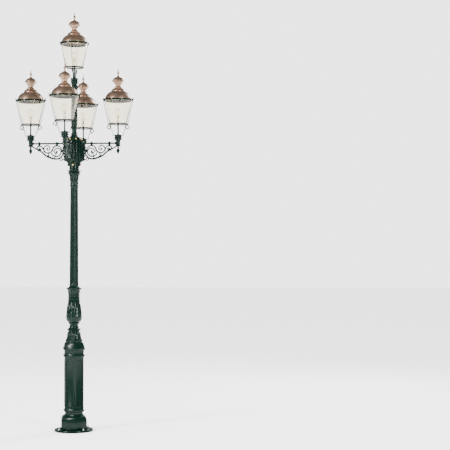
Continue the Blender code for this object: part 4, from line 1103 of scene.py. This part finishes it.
STEM_LINES = (
    ((0.244, -0.112), (0.256, -0.14), (0.264, -0.17), (0.268, -0.204)),
    ((0.118, -0.208), (0.14, -0.216), (0.16, -0.214)),
    ((0.352, -0.124), (0.358, -0.142), (0.35, -0.16), (0.34, -0.184)),
)
BALLS = ((0.238, -0.108, 0.0135), (0.37, -0.066, 0.0125), (0.478, -0.07, 0.0135))
RIB_LEAVES = ((0.345, -0.178), (0.362, -0.168), (0.33, -0.185), (0.3, -0.194), (0.468, -0.096))
# Leaf lobes (x, y, z, tilt, turn, size): up the pilaster's face, then where scrolls part
LOBES = (
    (0.134, 0.015, -0.004, 28, 24, 0.013), (0.143, 0, -0.028, 34, 0, 0.014),
    (0.136, 0.016, -0.048, 26, 28, 0.014), (0.145, 0, -0.076, 30, 0, 0.015),
    (0.136, 0.017, -0.096, 24, 30, 0.014), (0.145, 0, -0.124, 28, 0, 0.014),
    (0.135, 0.016, -0.144, 22, 30, 0.013), (0.142, 0, -0.172, 24, 0, 0.013),
    (0.133, 0.014, -0.194, 20, 28, 0.012), (0.137, 0, -0.222, 20, 0, 0.012),
    (0.154, 0, -0.06, 12, 0, 0.013), (0.16, 0, -0.104, -8, 0, 0.012),
    (0.294, 0, -0.096, 30, 0, 0.01), (0.309, 0, -0.13, -30, 0, 0.01),
    (0.345, 0, -0.134, 60, 0, 0.009),
)
CLIPS = (0.238, 0.481)
# Where the root plate meets the hub and where its face stands, and the plate's nuts (y, z)
ROOT_BACK = 0.0688
ROOT_FACE = 0.0838
NUTS = ((-0.041, 0.062), (0.041, 0.062), (0.0, -0.291))


def root_plate():
    """The plate bolted to the hub, its pilaster in two steps, and the reeds along both."""
    plate = slab("plate", [(-0.056, 0.083), (0.056, 0.083), (0.056, -0.036), (0.024, -0.3),
                           (0.018, -0.308), (-0.018, -0.308), (-0.024, -0.3), (-0.056, -0.036)],
                 -ROOT_FACE, -ROOT_BACK)
    plate.rotation_euler.z = math.pi / 2
    bevelled(settled(plate), 0.002)
    pieces = [plate]
    for half, face, edge in ((0.033, 0.1105, 0.0025), (0.022, 0.123, 0.003)):
        root = ROOT_BACK + 0.002
        line = [(root, 0.036), (face, 0.03), (face, -0.236), (root, -0.272)]
        pieces.append(bevelled(slab("pilaster", line, -half, half), edge))
    for side in (1, -1):
        line = [(0.1105, side * 0.0295, 0.03), (0.1105, side * 0.0295, -0.236)]
        pieces.append(wire("reed", line, 0.0042))
        line = [(ROOT_FACE, side * 0.052, 0.078), (ROOT_FACE, side * 0.052, -0.034),
                (ROOT_FACE, side * 0.022, -0.296)]
        pieces.append(wire("reed", line, 0.0032))
    return pieces


def plate_leaves():
    """An acanthus up the pilaster's face, and a leaf on each side of it."""

    def on_face(along, sideways, out):
        return (0.1225 + out, sideways, -0.24 + 0.262 * along)

    def on_plate(along, sideways, out):
        return (ROOT_FACE + out, sideways + 0.041, -0.15 + 0.22 * along)

    acanthus = leaf("acanthus", 0.03, 0.014, 5, on_face, 0.006)
    modified(acanthus, "SOLIDIFY", thickness=0.003, offset=-1.0)
    flank = leaf("flank", 0.013, 0.006, 6, on_plate, 0.002)
    modified(flank, "SOLIDIFY", thickness=0.003, offset=-1.0)
    return [acanthus, flank, around(copied(flank, "flank", Matrix.Diagonal((1, -1, 1, 1))), "flank", 1)]


def scroll_bar(name, line, radius, radii):
    """A bar along (x, z), a little wider than it is deep."""
    made = wire(name, smooth_line([(x, 0, z) for x, z in line]), radius, radii)
    made.scale.y = 1.15
    return settled(made)


def scrollwork(sizes):
    """The rib, the scrolls with their links, and the balls at their eyes."""
    bar = sizes.scroll
    pieces = [
        scroll_bar("rib", RIB, sizes.rib, (0.75, 0.95, 1.05, 1.1, 1.1, 1.0, 0.95, 0.9)),
        scroll_bar("wave", WAVE, bar, (0.8, 1.0, 1.1, 1.0, 1.0, 0.95, 0.8, 0.7)),
        scroll_bar("spiral", SPIRAL, bar, (0.9, 1.05, 1.0, 0.95, 0.8, 0.75)),
        scroll_bar("arch", ARCH, bar, (0.8, 1.0, 1.05, 0.9)),
    ]
    pieces += [scroll_bar("link", line, bar * 0.85, (1.0, 0.8, 1.0)) for line in STEM_LINES]
    pieces += [ball("ball", radius, (x, 0, z)) for x, z, radius in BALLS]
    return pieces


def lobes_and_buds():
    """Buds along the rib, and the leaf lobes that are cast on the pilaster and the scrolls."""
    pieces = []
    for x, z in RIB_LEAVES:
        bud = ball("bud", 0.0095, (0, 0, 0), 1.7)
        bud.scale.y = 1.2
        bud.rotation_euler.y = math.radians(62)
        bud.location = (x, 0, z)
        pieces.append(settled(bud))
    for x, y, z, tilt, turn, size in LOBES:
        for side in (1, -1) if y else (1,):
            lobe = ball("lobe", size, (0, 0, 0), 1.55)
            lobe.scale = (0.6, 0.8, 1.0)
            lobe.rotation_euler = (0, math.radians(tilt), math.radians(side * turn))
            lobe.location = (x, side * y, z)
            pieces.append(settled(lobe))
    return pieces


def tube_clips():
    """The ring under the rib, and the clips that hold the arm tube, each with its rivet."""
    ring = added("ring", bpy.ops.mesh.primitive_torus_add, major_radius=0.0172, minor_radius=0.0062,
                 major_segments=36, minor_segments=12, rotation=(math.pi / 2, 0, 0),
                 location=(0.179, 0, -0.212))
    pieces = [settled(ring)]
    right_side = [(0.014, -0.036), (0.014, -0.014), (0.0155, -0.006), (0.0155, 0.012), (0.012, 0.022)]
    for x in CLIPS:
        line = [(x - 0.014, -0.036)] + [(x + out, z) for out, z in right_side]
        line += [(x - out, z) for out, z in reversed(right_side[1:])]
        clip = slab("clip", line, -0.0135, 0.0135)
        pieces.append(bevelled(clip, 0.002))
        pieces.append(barrel("rivet", 0.005, -0.016, 0.016, 0.0012, 20, "Y", (x, 0, -0.022)))
    return pieces


class OBJECT_OT_lamp_brackets(bpy.types.Operator):
    """Four scrolled brackets with root plates, acanthus pilasters and tube clips"""

    bl_idname = "street_lamp.brackets"
    bl_label = "Brackets"

    def execute(self, context):
        sizes = context.scene.lamp_sizes
        pieces = root_plate() + plate_leaves() + scrollwork(sizes) + lobes_and_buds() + tube_clips()
        for_each_arm(joined("bracket", *pieces), "bracket", enamel(), "green_paint", "bracket")
        return {"FINISHED"}


class OBJECT_OT_lamp_nuts(bpy.types.Operator):
    """Brass dome nuts and washers that hold the brackets"""

    bl_idname = "street_lamp.nuts"
    bl_label = "Dome nuts"

    def execute(self, context):
        width = context.scene.lamp_sizes.nut
        pieces = []
        seat, head = ROOT_FACE + 0.002, ROOT_FACE + 0.009
        for y, z in NUTS:
            at = (0, y, z)
            pieces.append(barrel("washer", width * 0.6, ROOT_FACE - 0.0005, seat, 0.0004, 32, "X", at))
            pieces.append(barrel("hex", width * 0.577, seat, head, 0.0008, 6, "X", at))
            pieces.append(ball("dome", width * 0.46, (head, y, z)))
        for_each_arm(joined("nuts", *pieces), "dome_nuts", brass(), "brass")
        return {"FINISHED"}


class OBJECT_OT_lamp_arms(bpy.types.Operator):
    """Arm tubes, and the end sockets with their drops"""

    bl_idname = "street_lamp.arms"
    bl_label = "Arm tubes and sockets"

    def execute(self, context):
        tube = barrel("tube", 0.0112, ARM_START, ARM_END, 0.0004, 40, "X")
        for_each_arm(tube, "arm_tube", enamel(), "green_paint", "arm_tube")

        drop = turned(
            "drop",
            [
                (0, 0.0635), (0.0215, 0.0635), (0.0215, 0.0375), (0.03, 0.0375), (0.0315, 0.035, 0.0008),
                (0.031, 0.028), (0.0285, 0.024, -0.0005), (0.0285, -0.015), (0.0295, -0.024, -0.0004),
                (0.0345, -0.033, -0.0008), (0.0355, -0.037, 0.0008), (0.03, -0.042, 0.001),
                (0.017, -0.046, -0.0015), (0.0105, -0.053, -0.0012), (0.0105, -0.056),
                (0.0145, -0.06, 0.001), (0.0145, -0.064, 0.001), (0.011, -0.068),
                (0.012, -0.076, -0.0005), (0.0215, -0.09, 0.002), (0.0225, -0.098, 0.0008),
                (0.019, -0.118, 0.0015), (0.012, -0.133, 0.0005), (0.0085, -0.138), (0, -0.145, 0.002),
            ],
            48,
            closed=False,
        )
        for vertex in drop.data.vertices:
            if -0.136 < vertex.co.z < -0.08:
                turn = math.atan2(vertex.co.y, vertex.co.x)
                vertex.co.xy *= 1 - 0.07 * abs(math.cos(4 * turn))
        boss = turned(
            "boss",
            [
                (0, -0.01), (0.02, -0.01), (0.0215, 0.028), (0.022, 0.034, 0.0006),
                (0.019, 0.038, 0.0006), (0.015, 0.042, -0.001), (0.0125, 0.047), (0, 0.047),
            ],
            40,
            closed=False,
        )
        boss.rotation_euler.y = -math.pi / 2
        settled(boss)
        screw = barrel("screw", 0.0048, -0.032, 0.032, 0.0012, 24, "Y", (0, 0, 0.006))
        socket = joined("socket", drop, boss, screw)
        socket.location.x = ARM_REACH
        for_each_arm(settled(socket), "arm_socket", enamel(), "green_paint", "arm_socket")
        return {"FINISHED"}


# Lanterns, each made in its own frame: the foot of the cup at z = 0 and the hood's hinge at +X
RING = GLASS_LOW - 0.0003
RING_R = 0.129
RING_BORE_R = 0.103
GLASS_FOOT_R = 0.117
RIM_R = 0.1965
RIM_TOP = HOOD_LOW - 0.0003
CUP_H = 0.076


class OBJECT_OT_lamp_yokes(bpy.types.Operator):
    """Cups, straps, loops and the rings under the glass"""

    bl_idname = "street_lamp.yokes"
    bl_label = "Lantern yokes"

    def execute(self, context):
        sizes = context.scene.lamp_sizes
        cup = turned(
            "cup",
            [
                (0.0112, CUP_H), (0.046, CUP_H), (0.05, CUP_H - 0.003, 0.001), (0.05, CUP_H - 0.016),
                (0.049, CUP_H - 0.018), (0.046, CUP_H - 0.02, -0.0004), (0.0455, CUP_H - 0.029),
                (0.0475, CUP_H - 0.033, -0.0006), (0.0535, CUP_H - 0.037), (0.054, CUP_H - 0.045, 0.0016),
                (0.048, CUP_H - 0.048, 0.0004), (0.0452, CUP_H - 0.052, -0.0008), (0.0452, 0.018),
                (0.047, 0.014, -0.0006), (0.0525, 0.012), (0.054, 0.006, 0.0014), (0.051, 0.002, 0.0008),
                (0.045, 0), (0.0232, 0), (0.0232, 0.0266), (0.0112, 0.0266),
            ],
            sizes.fineness,
        )
        ring = turned(
            "ring",
            [
                (0.1222, RING + 0.005), (0.1265, RING + 0.006, 0.0006), (RING_R, RING + 0.003, 0.0008),
                (RING_R, RING - 0.003, 0.001), (0.126, RING - 0.005), (0.1235, RING - 0.01, -0.0008),
                (0.12, RING - 0.0104), (RING_BORE_R + 0.001, RING - 0.0104), (RING_BORE_R, RING - 0.009),
                (RING_BORE_R, RING - 0.0001), (0.1222, RING - 0.0001),
            ],
            sizes.fineness,
        )
        side = []
        strap = smooth_line([(0.044, 0, CUP_H - 0.013), (0.056, 0, CUP_H - 0.0145),
                             (0.0655, 0, CUP_H - 0.0125), (0.0715, 0, CUP_H - 0.001),
                             (0.076, 0, CUP_H + 0.018), (0.106, 0, RING - 0.008)])
        strap = wire("strap", strap, 0.0042, (1.1, 1.0, 1.0, 0.95, 1.0, 1.15))
        strap.scale.y = 1.5
        side.append(settled(strap))
        loop_at = Vector((0.1275, 0, RING - 0.042))
        loop = added("loop", bpy.ops.mesh.primitive_torus_add, major_radius=0.0222, minor_radius=0.0056,
                     major_segments=48, minor_segments=14, rotation=(math.pi / 2, 0, 0), location=loop_at)
        side.append(settled(loop))
        lead = smooth_line([(0.103, 0, RING - 0.004), (0.113, 0, RING - 0.0065), (0.124, 0, RING - 0.015),
                            (0.134, 0, RING - 0.021), (0.144, 0, RING - 0.029)])
        side.append(wire("lead", lead, 0.0056, (1.1, 1.0, 0.9, 0.6)))
        side.append(ball("knob", 0.0082, loop_at + Vector((-0.015, 0, -0.03))))
        neck = [loop_at + Vector((-0.011, 0, -0.019)), loop_at + Vector((-0.015, 0, -0.03))]
        side.append(wire("neck", neck, 0.0048))
        side.append(ball("rod_lug", 0.0062, (RING_R + 0.0025, 0, RING - 0.005), 1.2))
        one = joined("side", *side)
        other = copied(one, "side", Matrix.Rotation(math.pi, 4, "Z"))
        keys = [barrel("key", 0.0042, 0.04, 0.0525, 0.001, 20, "Y", (0, 0, CUP_H - 0.0105))]
        keys.append(copied(keys[0], "key", Matrix.Rotation(math.pi, 4, "Z")))
        for_each_lantern(joined("yoke", cup, ring, one, other, *keys), "yoke", enamel(), "green_paint",
                         node="yoke")
        return {"FINISHED"}


class OBJECT_OT_lamp_holders(bpy.types.Operator):
    """Upright tubes, white plates and lamp sockets"""

    bl_idname = "street_lamp.holders"
    bl_label = "Lamp holders"

    def execute(self, context):
        sizes = context.scene.lamp_sizes
        tube = turned(
            "tube",
            [
                (0.0105, RING - 0.0005), (0.0105, 0.0269), (0.008, 0.0269), (0.008, RING - 0.0005),
            ],
            40,
        )
        collar = turned("collar", [(0.0106, CUP_H + 0.01), (0.015, CUP_H + 0.008, 0.0006),
                                   (0.0165, CUP_H + 0.0002), (0.0106, CUP_H + 0.0002)], 40)
        for_each_lantern(joined("tube", tube, collar), "lamp_tube", enamel(), "green_paint")

        holder = turned(
            "holder",
            [
                (0.008, TUBE_TOP), (0.0185, TUBE_TOP), (0.0208, TUBE_TOP - 0.002, 0.0004),
                (0.0208, TUBE_TOP - 0.038), (0.0195, TUBE_TOP - 0.041),
                (0.0175, TUBE_TOP - 0.043, -0.0004), (0.0175, RING + 0.008),
                (0.021, RING + 0.003, -0.0008), (0.1085, RING + 0.0024), (0.11, RING + 0.0014, 0.0004),
                (0.11, RING + 0.0004), (0.008, RING + 0.0004),
            ],
            sizes.fineness,
        )
        for_each_lantern(holder, "lamp_holder", porcelain(), "white_enamel", node="lamp_holder")
        return {"FINISHED"}


class OBJECT_OT_lamp_lamps(bpy.types.Operator):
    """Clear globe lamps with their screw caps and filaments"""

    bl_idname = "street_lamp.lamps"
    bl_label = "Globe lamps"

    def execute(self, context):
        centre_z = BULB_HIGH - BULB_R
        neck = 0.0155
        join = centre_z - BULB_R * 0.9
        globe = turned(
            "globe",
            [
                (0, BULB_HIGH),
                (BULB_R, centre_z, BULB_R * (1 - math.sqrt(0.5))),
                (BULB_R * math.sqrt(1 - 0.81), join, BULB_R * 0.205), (neck, BULB_LOW + 0.02, -0.001),
                (neck, BULB_LOW + 0.016), (neck - 0.0008, BULB_LOW + 0.016),
                (neck - 0.0008, BULB_LOW + 0.02),
                (BULB_R * math.sqrt(1 - 0.81) - 0.0008, join + 0.0004, 0.001),
                (BULB_R - 0.0008, centre_z, -BULB_R * 0.205),
                (0, BULB_HIGH - 0.0008, -(BULB_R - 0.0008) * (1 - math.sqrt(0.5))),
            ],
            64,
            closed=False,
            arcs=14,
        )
        for_each_lantern(globe, "bulb", lamp_glass(), "opal_lamp", node="bulb")

        cap = [turned("cap", [(0, BULB_LOW + 0.018), (0.015, BULB_LOW + 0.018), (0.014, BULB_LOW + 0.01),
                              (0.0135, BULB_LOW + 0.002), (0, BULB_LOW + 0.001)], 40, closed=False)]
        cap.append(barrel("stem", 0.003, BULB_LOW + 0.016, centre_z - 0.016, 0.0004, 16))
        for side in (-1, 1):
            lead = [(side * 0.002, 0, centre_z - 0.018), (side * 0.014, 0, centre_z + 0.006)]
            cap.append(wire("lead", lead, 0.0005))
        coil = []
        for step in range(121):
            turn = math.tau * step / 8
            coil.append((-0.014 + 0.028 * step / 120, 0.0012 * math.cos(turn),
                         centre_z + 0.006 + 0.0012 * math.sin(turn)))
        cap.append(wire("filament", coil, 0.00025, sides=1))
        for_each_lantern(joined("cap", *cap), "lamp_cap", tungsten(), "opal_lamp")
        return {"FINISHED"}


class OBJECT_OT_lamp_glasses(bpy.types.Operator):
    """Glass cones of the lanterns"""

    bl_idname = "street_lamp.glasses"
    bl_label = "Lantern glasses"

    def execute(self, context):
        sizes = context.scene.lamp_sizes
        low, high = GLASS_LOW, GLASS_HIGH
        cone = turned(
            "glass",
            [
                (GLASS_TOP_R - 0.0004, high), (GLASS_TOP_R, high - 0.0006), (GLASS_FOOT_R, low + 0.0006),
                (GLASS_FOOT_R - 0.0004, low), (GLASS_FOOT_R - sizes.glass, low),
                (GLASS_TOP_R - sizes.glass, high),
            ],
            128,
        )
        for_each_lantern(cone, "glass", lantern_glass(), "clear_glass", node="glass")
        return {"FINISHED"}


class OBJECT_OT_lamp_rims(bpy.types.Operator):
    """Rims over the glass, with rods, hinge knuckles and screw lugs, and a ring of painted shade inside each
    rim
    """

    bl_idname = "street_lamp.rims"
    bl_label = "Rims and rods"

    def execute(self, context):
        sizes = context.scene.lamp_sizes
        top = RIM_TOP
        rim = turned(
            "rim",
            [
                (0.1455, top - 0.0002), (0.194, top - 0.0002), (RIM_R, top - 0.002, 0.0006),
                (RIM_R, top - 0.019), (RIM_R + 0.0014, top - 0.0205),
                (RIM_R + 0.0014, top - 0.0235, 0.0006), (RIM_R - 0.001, top - 0.024),
                (RIM_R - 0.004, top - 0.024), (RIM_R - 0.004, top - 0.0042), (0.1455, top - 0.004),
            ],
            sizes.fineness,
        )
        lug_top = HINGE_UP - 0.006
        lug_low = top - 0.019
        reach = HINGE_OUT + 0.005
        hinge = slab("hinge_lug", [(RIM_R - 0.003, lug_low), (reach - 0.006, lug_low + 0.004),
                                   (reach, lug_low + 0.01), (reach, lug_top), (RIM_R - 0.003, lug_top)],
                     -0.016, 0.016)
        screw = slab("screw_lug", [(-RIM_R + 0.003, lug_low), (-reach + 0.007, lug_low + 0.004),
                                   (-reach + 0.001, lug_low + 0.01), (-reach + 0.001, lug_top),
                                   (-RIM_R + 0.003, lug_top)], -0.01, 0.01)
        cut(screw, barrel("hole", 0.0036, lug_low - 0.01, lug_top + 0.01, 0.0001, at=(-SCREW_OUT, 0, 0)))
        knuckle = barrel("knuckle", 0.005, -0.006, 0.006, 0.0006, 32, "Y", (HINGE_OUT, 0, HINGE_UP))
        foot = brick("foot", (HINGE_OUT - 0.0042, -0.0058, lug_top - 0.004),
                     (HINGE_OUT + 0.0042, 0.0058, HINGE_UP), 0.0005)
        pieces = [rim, bevelled(hinge, 0.001), bevelled(screw, 0.001), knuckle, foot]
        for side in (1, -1):
            low = (side * (RING_R + 0.003), 0, RING - 0.0075)
            high = (side * (RIM_R + 0.004), 0, lug_low + 0.003)
            pieces.append(wire("rod", [low, high], sizes.rod))
        for_each_lantern(joined("rim", *pieces), "rim", enamel(), "green_paint", node="rim")

        # A near-black ring just inside the rim: painted shade for the dark under the hood, not a part of the
        # real lantern
        painted_shade_ring = turned(
            "painted_shade_ring",
            [
                (0.136, top - 0.0046), (RIM_R - 0.0045, top - 0.0046), (RIM_R - 0.0045, top - 0.0225),
                (RIM_R - 0.006, top - 0.0225), (RIM_R - 0.006, top - 0.0065, 0.0006),
                (0.136, top - 0.0065),
            ],
            sizes.fineness,
        )
        for_each_lantern(painted_shade_ring, "rim_painted_shade", painted_rim_shade(), "green_paint")
        return {"FINISHED"}


class OBJECT_OT_lamp_hoods(bpy.types.Operator):
    """Spun copper hoods with their crowns, finials, hinge ears and screw tabs"""

    bl_idname = "street_lamp.hoods"
    bl_label = "Copper hoods"

    def execute(self, context):
        sizes = context.scene.lamp_sizes
        base, tip = HOOD_LOW, HOOD_HIGH
        sheet = sizes.copper
        shell = turned(
            "hood",
            [
                (0, tip), (0.0078, tip - 0.006, 0.002), (0.0072, tip - 0.01, 0.0008),
                (0.0052, tip - 0.014, -0.0005), (0.0064, base + 0.385), (0.008, base + 0.372),
                (0.011, base + 0.362, -0.0005), (0.0182, base + 0.35, 0.001),
                (0.0188, base + 0.344, 0.001), (0.013, base + 0.336, 0.0006), (0.0095, base + 0.331),
                (0.01, base + 0.318, -0.0003), (0.02, base + 0.307, -0.0016),
                (0.0225, base + 0.3045, 0.0003), (0.023, base + 0.3), (0.029, base + 0.297),
                (0.08, base + 0.244, 0.011), (0.0828, base + 0.241, 0.0003),
                (0.0828, base + 0.2385, 0.0004), (0.078, base + 0.235, 0.0006),
                (0.064, base + 0.225, -0.0018), (0.0625, base + 0.221, 0.0003),
                (0.059, base + 0.218, 0.0006), (0.0515, base + 0.211, -0.0012),
                (0.0512, base + 0.206, 0.0009), (0.048, base + 0.203, 0.0005),
                (0.037, base + 0.19, -0.0018), (0.0355, base + 0.18), (0.038, base + 0.17, -0.0004),
                (0.049, base + 0.157, -0.0016), (0.0525, base + 0.153), (0.0525, base + 0.147, 0.0012),
                (0.056, base + 0.144), (0.088, base + 0.12, 0.0055), (0.093, base + 0.111, 0.0008),
                (0.094, base + 0.1035), (0.0985, base + 0.1015, -0.0004), (0.106, base + 0.099),
                (0.172, base + 0.025, 0.01), (0.1772, base + 0.0115), (0.179, base + 0.007, -0.0004),
                (0.185, base + 0.005, -0.0003), (HOOD_R - 0.001, base + 0.0036),
                (HOOD_R, base + 0.0018, 0.0005), (HOOD_R - 0.0008, base + 0.0004, 0.0003),
                (0.179 - sheet, base + 0.0004), (0.1712 - sheet, base + 0.024),
                (0.105, base + 0.0975, -0.0096), (0.0925, base + 0.101), (0.0865, base + 0.119),
                (0.054, base + 0.143, -0.005), (0.0365, base + 0.169, 0.001), (0.034, base + 0.18),
                (0.035, base + 0.19), (0, base + 0.193),
            ],
            128,
            closed=False,
        )
        far, near = -SCREW_OUT - 0.009, -HOOD_R + 0.008
        low, high = base + 0.0004, base + 0.0044
        tab = slab("tab", [(far, low), (near, low), (near, high), (far, high)], -0.011, 0.011)
        cut(tab, barrel("hole", 0.0036, base - 0.02, base + 0.02, 0.0001, at=(-SCREW_OUT, 0, 0)))
        for_each_lantern(joined("hood", shell, bevelled(tab, 0.0008)), "hood", brushed_copper,
                         "brushed_copper", "hood", "hood", angle=40)

        pieces = [barrel("pin", 0.0024, -0.0165, 0.0165, 0.0008, 24, "Y", (HINGE_OUT, 0, HINGE_UP))]
        for side in (1, -1):
            near, far = sorted((side * 0.0065, side * 0.0143))
            pieces.append(barrel("ear", 0.0045, near, far, 0.0006, 32, "Y", (HINGE_OUT, 0, HINGE_UP)))
            pieces.append(brick("leaf", (HOOD_R - 0.01, near + 0.0005, base + 0.0006),
                                (HINGE_OUT, far - 0.0005, base + 0.0056), 0.0006))
        finger = turned("finger", [(0, 0.023), (0.0042, 0.0195, 0.0012), (0.004, 0.016, 0.001),
                                   (0.0026, 0.013), (0.0028, 0.003), (0, 0.003)], 24, closed=False)
        finger.rotation_euler.y = math.radians(12)
        finger.location = (HINGE_OUT, 0.0104, HINGE_UP)
        pieces.append(settled(finger))
        for_each_lantern(joined("ears", *pieces), "hinge_ears", enamel(), "green_paint", "hood")
        return {"FINISHED"}


class OBJECT_OT_lamp_screws(bpy.types.Operator):
    """Thumb screws that hold the hoods down"""

    bl_idname = "street_lamp.screws"
    bl_label = "Hood screws"

    def execute(self, context):
        seat = HOOD_LOW + 0.0048
        screw = turned(
            "screw",
            [
                (0, seat + 0.018), (0.0035, seat + 0.0165, 0.0008), (0.0055, seat + 0.014),
                (0.0068, seat + 0.0125, 0.0004), (0.0068, seat + 0.005), (0.0055, seat + 0.0035),
                (0.005, seat + 0.0015), (0.0066, seat + 0.0008), (0.0066, seat), (0.003, seat),
                (0.003, seat - 0.0095), (0.002, seat - 0.0105), (0, seat - 0.0105),
            ],
            96,
            closed=False,
        )
        for vertex in screw.data.vertices:
            if seat + 0.0045 < vertex.co.z < seat + 0.013 and vertex.co.xy.length > 0.006:
                turn = math.atan2(vertex.co.y, vertex.co.x)
                vertex.co.xy *= 1 - 0.05 * (0.5 + 0.5 * math.cos(24 * turn))
        screw.location.x = -SCREW_OUT
        for_each_lantern(settled(screw), "hood_screw", enamel(), "green_paint", "hood_screw", "hood_screw")
        return {"FINISHED"}


OPERATORS = (
    OBJECT_OT_lamp_stage,
    OBJECT_OT_lamp_foot,
    OBJECT_OT_lamp_pedestal,
    OBJECT_OT_lamp_door,
    OBJECT_OT_lamp_terminal_box,
    OBJECT_OT_lamp_shoulder,
    OBJECT_OT_lamp_baluster,
    OBJECT_OT_lamp_shaft,
    OBJECT_OT_lamp_capital,
    OBJECT_OT_lamp_hub,
    OBJECT_OT_lamp_stem,
    OBJECT_OT_lamp_brackets,
    OBJECT_OT_lamp_nuts,
    OBJECT_OT_lamp_arms,
    OBJECT_OT_lamp_yokes,
    OBJECT_OT_lamp_holders,
    OBJECT_OT_lamp_lamps,
    OBJECT_OT_lamp_glasses,
    OBJECT_OT_lamp_rims,
    OBJECT_OT_lamp_hoods,
    OBJECT_OT_lamp_screws,
)


class VIEW3D_PT_street_lamp(bpy.types.Panel):
    """Lists the lamp's sizes, its colours and its operators"""

    bl_label = "Street lamp"
    bl_idname = "VIEW3D_PT_street_lamp"
    bl_space_type = "VIEW_3D"
    bl_region_type = "UI"
    bl_category = "Street lamp"

    def draw(self, context):
        for group in (context.scene.lamp_sizes, context.scene.lamp_colours):
            column = self.layout.column()
            for name in type(group).__annotations__:
                column.prop(group, name)
        column = self.layout.column()
        for operator in OPERATORS:
            column.operator(operator.bl_idname)


CLASSES = (LampSizes, LampColours, *OPERATORS, VIEW3D_PT_street_lamp)


def register():
    for cls in CLASSES:
        bpy.utils.register_class(cls)
    bpy.types.Scene.lamp_sizes = PointerProperty(type=LampSizes)
    bpy.types.Scene.lamp_colours = PointerProperty(type=LampColours)


def unregister():
    del bpy.types.Scene.lamp_colours
    del bpy.types.Scene.lamp_sizes
    for cls in reversed(CLASSES):
        bpy.utils.unregister_class(cls)


def main():
    register()
    for operator in OPERATORS:
        family, name = operator.bl_idname.split(".")
        getattr(getattr(bpy.ops, family), name)()


if __name__ == "__main__":
    main()
